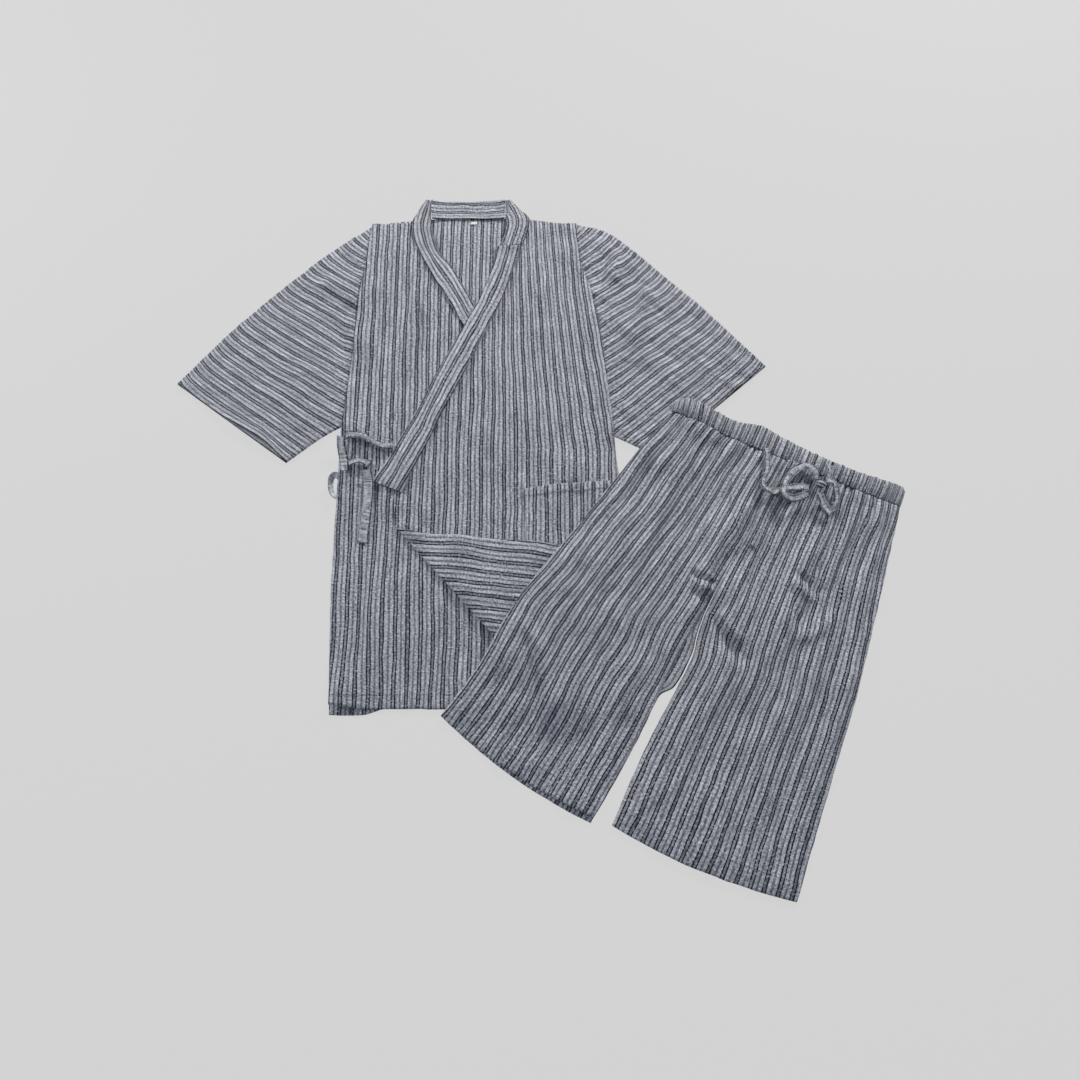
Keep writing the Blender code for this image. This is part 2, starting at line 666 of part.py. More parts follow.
def main():
    for old in list(bpy.data.objects):
        bpy.data.objects.remove(old, do_unlink=True)
    collection = bpy.data.collections.new("jinbei_set")
    bpy.context.scene.collection.children.link(collection)
    ground = Ground()
    jacket = add_garment("jacket", JACKET_AT, JACKET_TURN, collection)
    shorts = add_garment("shorts", SHORTS_AT, SHORTS_TURN, collection)
    bpy.context.view_layer.update()
    build_jacket(Builder(jacket, collection, ground))
    build_shorts(Builder(shorts, collection, ground))
    centre_on_origin((jacket, shorts), collection)


main()
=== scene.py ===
"""The looks of a jinbei set laid flat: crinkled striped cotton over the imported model's frame.

Every panel is laid again as fine cloth, in sewing order, on a map of what lies under it. Lengths are
in metres, and the tables are in each garment's own frame, as in the model's source.
"""
import math
from collections import namedtuple

import bmesh
import bpy
import numpy as np
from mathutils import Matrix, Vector


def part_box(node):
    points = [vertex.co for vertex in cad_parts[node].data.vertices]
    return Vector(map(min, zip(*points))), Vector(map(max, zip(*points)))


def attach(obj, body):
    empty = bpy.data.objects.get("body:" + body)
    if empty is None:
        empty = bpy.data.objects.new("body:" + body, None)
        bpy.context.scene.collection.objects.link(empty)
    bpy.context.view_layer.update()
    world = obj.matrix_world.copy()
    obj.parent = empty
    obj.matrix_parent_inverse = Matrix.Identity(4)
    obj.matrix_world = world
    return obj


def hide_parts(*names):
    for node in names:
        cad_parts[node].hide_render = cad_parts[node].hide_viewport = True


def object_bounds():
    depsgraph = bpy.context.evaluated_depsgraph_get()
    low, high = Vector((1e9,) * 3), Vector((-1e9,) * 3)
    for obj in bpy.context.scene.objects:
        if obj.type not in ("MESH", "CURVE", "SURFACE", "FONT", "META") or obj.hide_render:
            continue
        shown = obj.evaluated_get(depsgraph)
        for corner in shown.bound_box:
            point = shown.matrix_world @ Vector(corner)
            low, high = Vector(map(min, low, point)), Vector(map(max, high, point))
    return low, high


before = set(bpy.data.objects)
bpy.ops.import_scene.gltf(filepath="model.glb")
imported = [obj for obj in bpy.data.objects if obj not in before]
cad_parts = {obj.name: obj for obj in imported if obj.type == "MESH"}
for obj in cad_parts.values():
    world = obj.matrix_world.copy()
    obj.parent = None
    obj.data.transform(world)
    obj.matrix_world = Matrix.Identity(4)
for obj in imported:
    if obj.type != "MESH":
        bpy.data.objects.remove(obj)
CAD_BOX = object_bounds()

# Cloth
WALL = 0.0008                  # one layer of crinkled cotton
BAND = 0.0019                  # collar band, folded double
CASING = 0.0022                # waist casing
TAPE = 0.0013                  # ties and drawstring
LABEL_WALL = 0.0005
GAP = 0.0003                   # air between layers
FINE = 0.0025                  # mesh cell where the cloth shows
COARSE = 0.0075                # mesh cell where it is hidden

# Weave: one repeat of the warp stripes, and the tighter pitch of the sleeves and the neck
REPEAT = 0.0340
SLEEVE_EASE = 17.0 / 16.0

# How cloth settles on what lies under it
MAP_CELL = 0.0025
MAP_MARGIN = 0.08
PANEL_SLOPE = 0.28
TAPE_SLOPE = 1.5

# Where each garment lies
label_low, label_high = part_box("neck_label")
knot_low, knot_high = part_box("drawstring_knot")
LABEL_AT = (0.0045, -0.0015)                  # its left end and its top, from the neck seam's middle
KNOT_AT = (0.0620, -0.0440)
KNOT_SIZE = (0.0130, 0.0110, 0.0080)
SHORTS_TURN = math.radians(-25.0)

Section = namedtuple("Section", "left_x left_y right_x right_y")
Route = namedtuple("Route", "x y lift tilt")
# A soft ridge or trough along a bowed line: how wide it is on each side, how high, and how far it
# pulls the stripes aside
Crease = namedtuple("Crease", "x0 y0 x1 y1 bow left right rise pull")

JACKET_BACK = [
    Section(-0.1520, -0.0095, 0.1735, -0.0095),
    Section(-0.1580, -0.0700, 0.1770, -0.0720),
    Section(-0.1635, -0.1450, 0.1970, -0.1460),
    Section(-0.1700, -0.2670, 0.2133, -0.2680),
    Section(-0.1780, -0.3770, 0.2240, -0.3790),
    Section(-0.1770, -0.5070, 0.2350, -0.5090),
    Section(-0.1752, -0.6400, 0.2430, -0.6400),
    Section(-0.1665, -0.7830, 0.2450, -0.7770),
]
BACK_NECK_RISE = 0.0150
BACK_HEM_SAG = 0.0030
LEG_HEM_SAG = 0.0100

FRONT_RIGHT = [
    Section(-0.1520, -0.0090, -0.0880, -0.0050),
    Section(-0.1580, -0.0700, -0.0660, -0.0700),
    Section(-0.1635, -0.1450, -0.0240, -0.1450),
    Section(-0.1668, -0.2200, 0.0160, -0.2200),
    Section(-0.1718, -0.2950, 0.0580, -0.2950),
    Section(-0.1780, -0.3770, 0.1040, -0.3770),
    Section(-0.1782, -0.4500, 0.1420, -0.4500),
    Section(-0.1770, -0.5400, 0.1420, -0.5400),
    Section(-0.1752, -0.6400, 0.1420, -0.6400),
    Section(-0.1665, -0.7760, 0.1400, -0.7740),
]
FRONT_LEFT = [
    Section(0.0930, 0.0020, 0.1735, -0.0090),
    Section(0.0620, -0.0750, 0.1770, -0.0740),
    Section(0.0360, -0.1450, 0.1970, -0.1460),
    Section(-0.0030, -0.2350, 0.2105, -0.2350),
    Section(-0.0420, -0.3250, 0.2190, -0.3250),
    Section(-0.0770, -0.4050, 0.2262, -0.4050),
    Section(-0.0940, -0.4700, 0.2320, -0.4700),
    Section(-0.0880, -0.5500, 0.2380, -0.5600),
    Section(-0.0870, -0.6600, 0.2435, -0.6600),
    Section(-0.0870, -0.7770, 0.2445, -0.7770),
]
CORNER_FOLD = (-0.0880, -0.5200)
CORNER_FOLD_TURN = math.radians(-47.8)
CORNER_ROLL = 0.0017

SLEEVE_RIGHT = [
    Section(-0.1490, -0.0085, -0.1745, -0.3600),
    Section(-0.2050, -0.0525, -0.1945, -0.3720),
    Section(-0.2760, -0.1180, -0.2145, -0.3860),
    Section(-0.3520, -0.1970, -0.2350, -0.4030),
    Section(-0.4300, -0.2915, -0.2550, -0.4195),
]
SLEEVE_LEFT = [
    Section(0.1700, -0.0080, 0.2215, -0.3760),
    Section(0.2280, -0.0280, 0.2390, -0.3850),
    Section(0.3050, -0.1000, 0.2545, -0.3930),
    Section(0.3800, -0.1760, 0.2695, -0.4010),
    Section(0.4560, -0.2620, 0.2850, -0.4100),
]
SLEEVE_HEIGHT = 0.0036
ARMHOLE_TUCK = 0.0020                          # how far a sleeve runs in under the fronts

COLLAR_RIGHT = [
    Section(-0.0690, 0.0400, -0.0618, 0.0385),
    Section(-0.0800, 0.0180, -0.0600, 0.0100),
    Section(-0.0885, -0.0060, -0.0565, -0.0180),
    Section(-0.0850, -0.0360, -0.0500, -0.0430),
    Section(-0.0760, -0.0600, -0.0410, -0.0660),
    Section(-0.0450, -0.1180, -0.0170, -0.1000),
    Section(-0.0070, -0.1860, 0.0206, -0.1680),
    Section(0.0600, -0.3000, 0.0880, -0.2820),
    Section(0.1280, -0.4220, 0.1560, -0.4040),
    Section(0.1400, -0.4480, 0.1760, -0.4340),
]
COLLAR_LEFT_NECK = [
    Section(0.0605, 0.0385, 0.0662, 0.0395),
    Section(0.0602, 0.0180, 0.0815, 0.0220),
    Section(0.0595, -0.0020, 0.0980, 0.0020),
    Section(0.0570, -0.0260, 0.0955, -0.0230),
    Section(0.0520, -0.0485, 0.0870, -0.0490),
]
COLLAR_LEFT = [
    Section(0.0470, -0.0507, 0.0850, -0.0512),
    Section(0.0370, -0.1025, 0.0668, -0.1135),
    Section(0.0070, -0.1795, 0.0380, -0.1915),
    Section(-0.0290, -0.2525, 0.0010, -0.2770),
    Section(-0.0730, -0.3485, -0.0425, -0.3735),
    Section(-0.1085, -0.4195, -0.0705, -0.4380),
    Section(-0.1275, -0.4500, -0.0835, -0.4685),
]
COLLAR_BACK = [
    Section(-0.0608, 0.0385, 0.0598, 0.0395),
    Section(-0.0596, 0.0170, 0.0594, 0.0180),
    Section(-0.0570, 0.0012, 0.0586, 0.0016),
]
COLLAR_BACK_DIP = -0.0035

POCKET = [
    Section(0.0920, -0.4625, 0.2180, -0.4485),
    Section(0.0940, -0.5325, 0.2220, -0.5225),
    Section(0.0960, -0.6025, 0.2260, -0.5945),
]

SHORTS_FRONT_RIGHT = [
    Section(-0.1740, -0.0200, 0.0070, -0.0210),
    Section(-0.1930, -0.0900, 0.0010, -0.0950),
    Section(-0.2140, -0.1860, -0.0090, -0.1900),
    Section(-0.2350, -0.2800, -0.0190, -0.2850),
    Section(-0.2500, -0.3400, -0.0268, -0.3450),
    Section(-0.2600, -0.4000, -0.0298, -0.4050),
    Section(-0.2660, -0.4750, -0.0345, -0.4850),
    Section(-0.2820, -0.5590, -0.0460, -0.5910),
]
SHORTS_FRONT_LEFT = [
    Section(0.0076, -0.0210, 0.1790, -0.0190),
    Section(0.0016, -0.0950, 0.1880, -0.0850),
    Section(-0.0084, -0.1900, 0.1990, -0.1800),
    Section(-0.0150, -0.2850, 0.2090, -0.2750),
    Section(-0.0085, -0.3450, 0.2130, -0.3300),
    Section(-0.0125, -0.4050, 0.2160, -0.3900),
    Section(-0.0188, -0.4850, 0.2210, -0.4750),
    Section(-0.0205, -0.5905, 0.2270, -0.5760),
]
SHORTS_BACK_RIGHT = [
    Section(-0.1740, -0.0200, 0.0070, -0.0210),
    Section(-0.1930, -0.0900, 0.0010, -0.0950),
    Section(-0.2140, -0.1860, -0.0090, -0.1900),
    Section(-0.2350, -0.2800, -0.0160, -0.2850),
    Section(-0.2480, -0.3350, -0.0105, -0.3400),
    Section(-0.2585, -0.3800, -0.0140, -0.3880),
    Section(-0.2600, -0.4050, -0.0285, -0.4120),
    Section(-0.2635, -0.4500, -0.0310, -0.4560),
    Section(-0.2690, -0.5000, -0.0360, -0.5200),
    Section(-0.2820, -0.5590, -0.0460, -0.5990),
]

WAISTBAND = [
    Section(-0.1750, -0.0060, -0.1735, -0.0195),
    Section(-0.1560, 0.0100, -0.1500, -0.0195),
    Section(-0.1200, 0.0080, -0.1180, -0.0195),
    Section(-0.0780, 0.0085, -0.0780, -0.0195),
    Section(-0.0440, 0.0165, -0.0440, -0.0195),
    Section(-0.0090, 0.0115, -0.0090, -0.0195),
    Section(0.0280, 0.0085, 0.0280, -0.0195),
    Section(0.0670, 0.0070, 0.0670, -0.0195),
    Section(0.1090, 0.0080, 0.1090, -0.0190),
    Section(0.1450, 0.0105, 0.1440, -0.0185),
    Section(0.1690, 0.0130, 0.1690, -0.0180),
    Section(0.1790, 0.0070, 0.1800, -0.0180),
]
WAIST_STACK = 0.0070

TIE_WIDTH = 0.015
TIE_LOOP_WIDTH = 0.010
TIES = {
    "tie_front": [
        Route(-0.0995, -0.3958, 0.0000, -10),
        Route(-0.1112, -0.3966, 0.0000, -35),
        Route(-0.1232, -0.3934, 0.0010, -42),
        Route(-0.1338, -0.3870, 0.0010, -42),
        Route(-0.1452, -0.3814, 0.0005, -35),
        Route(-0.1594, -0.3790, 0.0000, -25),
        Route(-0.1690, -0.3795, 0.0000, -10),
    ],
    "tie_side_fold": [
        Route(-0.1735, -0.3850, 0.0000, 35),
        Route(-0.1730, -0.3976, 0.0000, 30),
        Route(-0.1700, -0.4135, 0.0000, 12),
        Route(-0.1675, -0.4277, 0.0000, 12),
        Route(-0.1665, -0.4355, 0.0000, 25),
    ],
    "tie_side_loop": [
        Route(-0.1730, -0.4459, 0.0000, 25),
        Route(-0.1805, -0.4430, 0.0000, 40),
        Route(-0.1860, -0.4480, 0.0000, 48),
        Route(-0.1860, -0.4598, 0.0000, 48),
        Route(-0.1825, -0.4700, 0.0000, 42),
        Route(-0.1755, -0.4753, 0.0000, 30),
    ],
    "tie_cross": [
        Route(-0.1610, -0.4250, 0.0000, 15),
        Route(-0.1550, -0.4225, 0.0000, 30),
        Route(-0.1470, -0.4205, 0.0000, 36),
        Route(-0.1390, -0.4215, 0.0000, 36),
        Route(-0.1315, -0.4260, 0.0000, 15),
    ],
    "tie_tail": [
        Route(-0.1345, -0.4370, 0.0000, 10),
        Route(-0.1318, -0.4560, 0.0000, 0),
        Route(-0.1327, -0.4929, 0.0000, 0),
        Route(-0.1358, -0.5430, 0.0000, 0),
    ],
}

# Where each tie starts on the bolt, and how much of the bolt its face shows.
TIE_WEAVES = {
    "tie_front": (-0.0036, 0.50),
    "tie_side_fold": (0.0050, 1.00),
    "tie_side_loop": (0.0020, 0.60),
    "tie_cross": (-0.0034, 0.46),
    "tie_tail": (0.0080, 0.55),
}

CORD_WIDTH = 0.0115
CORD_SPREAD = 1.20                            # the tied tape lies a little wider than it is folded
CORD_PUFF = 1.8                               # and puffs up
CORDS = {
    "drawstring_lead_right": [
        Route(-0.0266, -0.0183, 0.0000, 30),
        Route(-0.0199, -0.0327, 0.0005, 48),
        Route(-0.0150, -0.0478, 0.0005, 48),
        Route(-0.0136, -0.0630, 0.0005, 45),
        Route(-0.0112, -0.0743, 0.0005, 40),
        Route(-0.0026, -0.0788, 0.0005, 40),
        Route(0.0069, -0.0774, 0.0000, 30),
        Route(0.0160, -0.0700, 0.0000, 15),
        Route(0.0280, -0.0600, 0.0000, 5),
        Route(0.0400, -0.0530, 0.0000, 5),
        Route(0.0500, -0.0490, 0.0005, 10),
    ],
    "drawstring_loop_right": [
        Route(0.0550, -0.0345, 0.0005, -10),
        Route(0.0500, -0.0250, 0.0005, -50),
        Route(0.0396, -0.0200, 0.0000, -32),
        Route(0.0297, -0.0248, 0.0000, -20),
        Route(0.0219, -0.0361, 0.0000, -15),
        Route(0.0170, -0.0522, 0.0000, -12),
        Route(0.0168, -0.0680, 0.0000, -20),
        Route(0.0225, -0.0780, 0.0000, -35),
        Route(0.0325, -0.0780, 0.0000, -50),
        Route(0.0429, -0.0700, 0.0000, -50),
        Route(0.0510, -0.0610, 0.0000, -30),
    ],
    "drawstring_lead_left": [
        Route(0.0636, -0.0072, 0.0000, 20),
        Route(0.0682, -0.0180, 0.0005, 35),
        Route(0.0684, -0.0316, 0.0005, 20),
    ],
    "drawstring_loop_left": [
        Route(0.0680, -0.0335, 0.0005, 10),
        Route(0.0790, -0.0325, 0.0000, 28),
        Route(0.0880, -0.0410, 0.0000, 34),
        Route(0.0925, -0.0530, 0.0000, 36),
        Route(0.0905, -0.0635, 0.0000, 42),
        Route(0.0830, -0.0630, 0.0000, 42),
        Route(0.0755, -0.0580, 0.0000, 30),
        Route(0.0700, -0.0520, 0.0005, 10),
    ],
    "drawstring_tail_left": [
        Route(0.0650, -0.0560, 0.0005, 20),
        Route(0.0736, -0.0645, 0.0000, 15),
        Route(0.0828, -0.0710, 0.0000, 10),
        Route(0.0904, -0.0760, 0.0000, 0),
    ],
}

# ---------------------------------------------------------------------------------------------
# Camera
# ---------------------------------------------------------------------------------------------

CAMERA_DISTANCE = 1.278
CAMERA_ELEVATION = math.radians(72.1)
CAMERA_AIM = Vector((0.0099, -0.0495, 0.0))
CAMERA_LENS = 30.0


def make_camera():
    data = bpy.data.cameras.new("camera")
    data.lens = CAMERA_LENS
    data.sensor_width = 36.0
    camera = bpy.data.objects.new("camera", data)
    back = Vector((0.0, -math.cos(CAMERA_ELEVATION), math.sin(CAMERA_ELEVATION)))
    camera.location = CAMERA_AIM + back * CAMERA_DISTANCE
    camera.rotation_mode = "QUATERNION"
    camera.rotation_quaternion = (-back).to_track_quat("-Z", "Y")
    bpy.context.scene.collection.objects.link(camera)
    bpy.context.scene.camera = camera


# ---------------------------------------------------------------------------------------------
# Numbers over many points at once
# ---------------------------------------------------------------------------------------------

def smooth_step(low, high, value):
    t = np.clip((value - low) / (high - low), 0.0, 1.0)
    return t * t * (3 - 2 * t)


def bell(distance, width):
    return np.exp(-(distance / width) ** 2)


def smooth_rows(table, t):
    """The table's columns at each t from 0 to 1, on a smooth curve through its rows."""
    rows = np.array(table)
    last = len(rows) - 1
    span = np.clip(t, 0.0, 1.0) * last
    i = np.minimum(span.astype(int), last - 1)
    f = (span - i)[:, None]
    a, b, c, d = (rows[np.clip(i + k, 0, last)] for k in (-1, 0, 1, 2))
    m0 = np.where((i > 0)[:, None], (c - a) / 2, c - b)
    m1 = np.where((i + 2 <= last)[:, None], (d - b) / 2, c - b)
    values = (2 * f**3 - 3 * f**2 + 1) * b + (f**3 - 2 * f**2 + f) * m0
    values = values + (3 * f**2 - 2 * f**3) * c + (f**3 - f**2) * m1
    return values.T


def ripple(x, y, size_x, size_y, seed):
    """Smooth seeded noise from -1 to 1, with features of the given sizes."""
    lattice = np.random.default_rng(seed).uniform(-1, 1, (64, 64))
    px, py = x / size_x + 200.5, y / size_y + 200.5
    ix, iy = np.floor(px).astype(int), np.floor(py).astype(int)
    fx, fy = px - ix, py - iy
    fx, fy = fx * fx * (3 - 2 * fx), fy * fy * (3 - 2 * fy)
    near = lattice[iy % 64, ix % 64] * (1 - fx) + lattice[iy % 64, (ix + 1) % 64] * fx
    far = lattice[(iy + 1) % 64, ix % 64] * (1 - fx) + lattice[(iy + 1) % 64, (ix + 1) % 64] * fx
    return near * (1 - fy) + far * fy


CREASE_DEPTH = 1.6
CREASE_PULL = 0.5


def crease_field(creases, x, y):
    """What all creases add at each point: their height, and their pull on the stripes."""
    rise, pull = np.zeros_like(x), np.zeros_like(x)
    for crease in creases:
        along = np.array((crease.x1 - crease.x0, crease.y1 - crease.y0))
        length = np.hypot(*along)
        along = along / length
        t = ((x - crease.x0) * along[0] + (y - crease.y0) * along[1]) / length
        side = (x - crease.x0) * along[1] - (y - crease.y0) * along[0]
        side = side - crease.bow * 4 * t * (1 - t)
        width = np.where(side < 0, crease.left, crease.right)
        fade = smooth_step(0.0, 0.3, t) * smooth_step(1.0, 0.7, t)
        shape = bell(side, width) * fade
        rise += CREASE_DEPTH * crease.rise * shape
        pull += CREASE_PULL * crease.pull * shape
    return rise, pull


def crinkle(x, y, seed):
    """The lie of crinkled cotton: long soft runs down the cloth, and small puckers on them."""
    runs = 0.0018 * ripple(x, y, 0.016, 0.085, seed) + 0.0011 * ripple(x, y, 0.008, 0.045, seed + 1)
    return runs + 0.0005 * ripple(x, y, 0.006, 0.010, seed + 2)


def stripe_sway(x, y):
    """How far the stripes wander sideways where the cloth is crinkled."""
    return 0.0013 * ripple(x, y, 0.045, 0.09, 11) + 0.0008 * ripple(x, y, 0.013, 0.024, 12)


class Ground:
    """A map of how high the laid cloth stands."""

    def __init__(self, low, high):
        self.x0, self.y0 = low.x - MAP_MARGIN, low.y - MAP_MARGIN
        across = math.ceil((high.x + MAP_MARGIN - self.x0) / MAP_CELL)
        along = math.ceil((high.y + MAP_MARGIN - self.y0) / MAP_CELL)
        self.height = np.zeros((along, across))
        self.held = np.zeros_like(self.height)

    def splat(self, target, points, triangles):
        """Raise the map to every triangle, by points spread over it."""
        a, b, c = (points[triangles[:, k]] for k in range(3))
        longest = max(np.linalg.norm(p - q, axis=1).max() for p, q in ((a, b), (b, c), (c, a)))
        n = max(2, math.ceil(longest / (MAP_CELL * 0.6)))
        for i in range(n + 1):
            for j in range(n + 1 - i):
                p = (a * i + b * j + c * (n - i - j)) / n
                ix = ((p[:, 0] - self.x0) / MAP_CELL).astype(int)
                iy = ((p[:, 1] - self.y0) / MAP_CELL).astype(int)
                np.maximum.at(target, (iy, ix), p[:, 2])

    def add(self, mesh, thickness, hold=False, keep=None):
        """Lay a mesh on the map. keep chooses its triangles."""
        points = read_points(mesh)
        points[:, 2] += thickness
        mesh.calc_loop_triangles()
        triangles = np.empty(len(mesh.loop_triangles) * 3, dtype=np.int32)
        mesh.loop_triangles.foreach_get("vertices", triangles)
        triangles = triangles.reshape(-1, 3)
        if keep is not None:
            triangles = triangles[keep[triangles].all(axis=1)]
        self.splat(self.held if hold else self.height, points, triangles)

    def release(self):
        self.height = np.maximum(self.height, self.held)

    def settle(self, slope, reach):
        """The surface that cloth takes over the map, easing off every edge and rounded over steps."""
        surface = np.where(self.height > 0, self.height + GAP, 0.0)
        drop = slope * MAP_CELL
        for _ in range(math.ceil(surface.max() / drop)):
            straight = np.maximum.reduce([np.roll(surface, s, a) for a in (0, 1) for s in (-1, 1)])
            slant = np.maximum.reduce([np.roll(surface, s, (0, 1)) for s in
                                       ((1, 1), (1, -1), (-1, 1), (-1, -1))])
            grown = np.maximum(surface, np.maximum(straight - drop, slant - drop * 1.414))
            if np.array_equal(grown, surface):
                break
            surface = grown
        steps = range(-reach, reach + 1)
        for axis in (0, 1):
            surface = np.maximum.reduce([np.roll(surface, s, axis) for s in steps])
        for axis in (0, 1):
            surface = sum(np.roll(surface, s, axis) for s in steps) / len(steps)
        return surface

    def read(self, surface, x, y):
        fx = (x - self.x0) / MAP_CELL - 0.5
        fy = (y - self.y0) / MAP_CELL - 0.5
        ix, iy = np.floor(fx).astype(int), np.floor(fy).astype(int)
        fx, fy = fx - ix, fy - iy
        near = surface[iy, ix] * (1 - fx) + surface[iy, ix + 1] * fx
        far = surface[iy + 1, ix] * (1 - fx) + surface[iy + 1, ix + 1] * fx
        return near * (1 - fy) + far * fy

    def rest(self, x, y, slope=PANEL_SLOPE, reach=2):
        return self.read(self.settle(slope, reach), x, y)

    def top(self, x, y):
        return self.read(self.height, x, y)


# ---------------------------------------------------------------------------------------------
# Meshes
# ---------------------------------------------------------------------------------------------

def read_points(mesh):
    points = np.empty(len(mesh.vertices) * 3, dtype=np.float32)
    mesh.vertices.foreach_get("co", points)
    return points.reshape(-1, 3).astype(float)


def write_points(mesh, x, y, z):
    mesh.vertices.foreach_set("co", np.column_stack((x, y, z)).astype(np.float32).ravel())
    mesh.update()


def write_weave(mesh, across, along):
    """Where each point lies on the bolt: across the stripes and along them, in metres."""
    layer = mesh.uv_layers.new(name="weave")
    corner = np.empty(len(mesh.loops), dtype=np.int32)
    mesh.loops.foreach_get("vertex_index", corner)
    layer.data.foreach_set("uv", np.column_stack((across, along))[corner].astype(np.float32).ravel())


def new_grid(name, across, along):
    """A unit grid as a mesh, with u from left to right and v from the top edge down."""
    sheet = bmesh.new()
    bmesh.ops.create_grid(sheet, x_segments=across, y_segments=along, size=0.5)
    mesh = bpy.data.meshes.new(name)
    sheet.to_mesh(mesh)
    sheet.free()
    points = read_points(mesh)
    return mesh, points[:, 0] + 0.5, 0.5 - points[:, 1]


def table_size(table):
    """Mean width and length of a panel."""
    rows = np.array(table)
    width = np.hypot(rows[:, 2] - rows[:, 0], rows[:, 3] - rows[:, 1]).max()
    middle = np.column_stack((rows[:, 0] + rows[:, 2], rows[:, 1] + rows[:, 3])) / 2
    length = np.hypot(*np.diff(middle, axis=0).T).sum()
    return width, length


def add_piece(name, mesh, material, nodes=(), wall=0.0, offset=1):
    """Link a finished mesh as one piece that rides on the part."""
    mesh.materials.clear()
    mesh.materials.append(material)
    mesh.shade_smooth()
    piece = bpy.data.objects.new(name, mesh)
    bpy.context.scene.collection.objects.link(piece)
    if wall:
        shell = piece.modifiers.new("wall", "SOLIDIFY")
        shell.thickness = wall
        shell.offset = offset
    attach(piece, "root")
    if nodes:
        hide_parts(*nodes)
    return piece


def on_sections(table, u, v, top_rise=0.0, hem_sag=0.0):
    left_x, left_y, right_x, right_y = smooth_rows(table, v)
    bow = 4 * u * (1 - u) * (top_rise * np.maximum(0, 1 - 6 * v) - hem_sag * np.maximum(0, 6 * v - 5))
    return left_x + (right_x - left_x) * u, left_y + (right_y - left_y) * u + bow


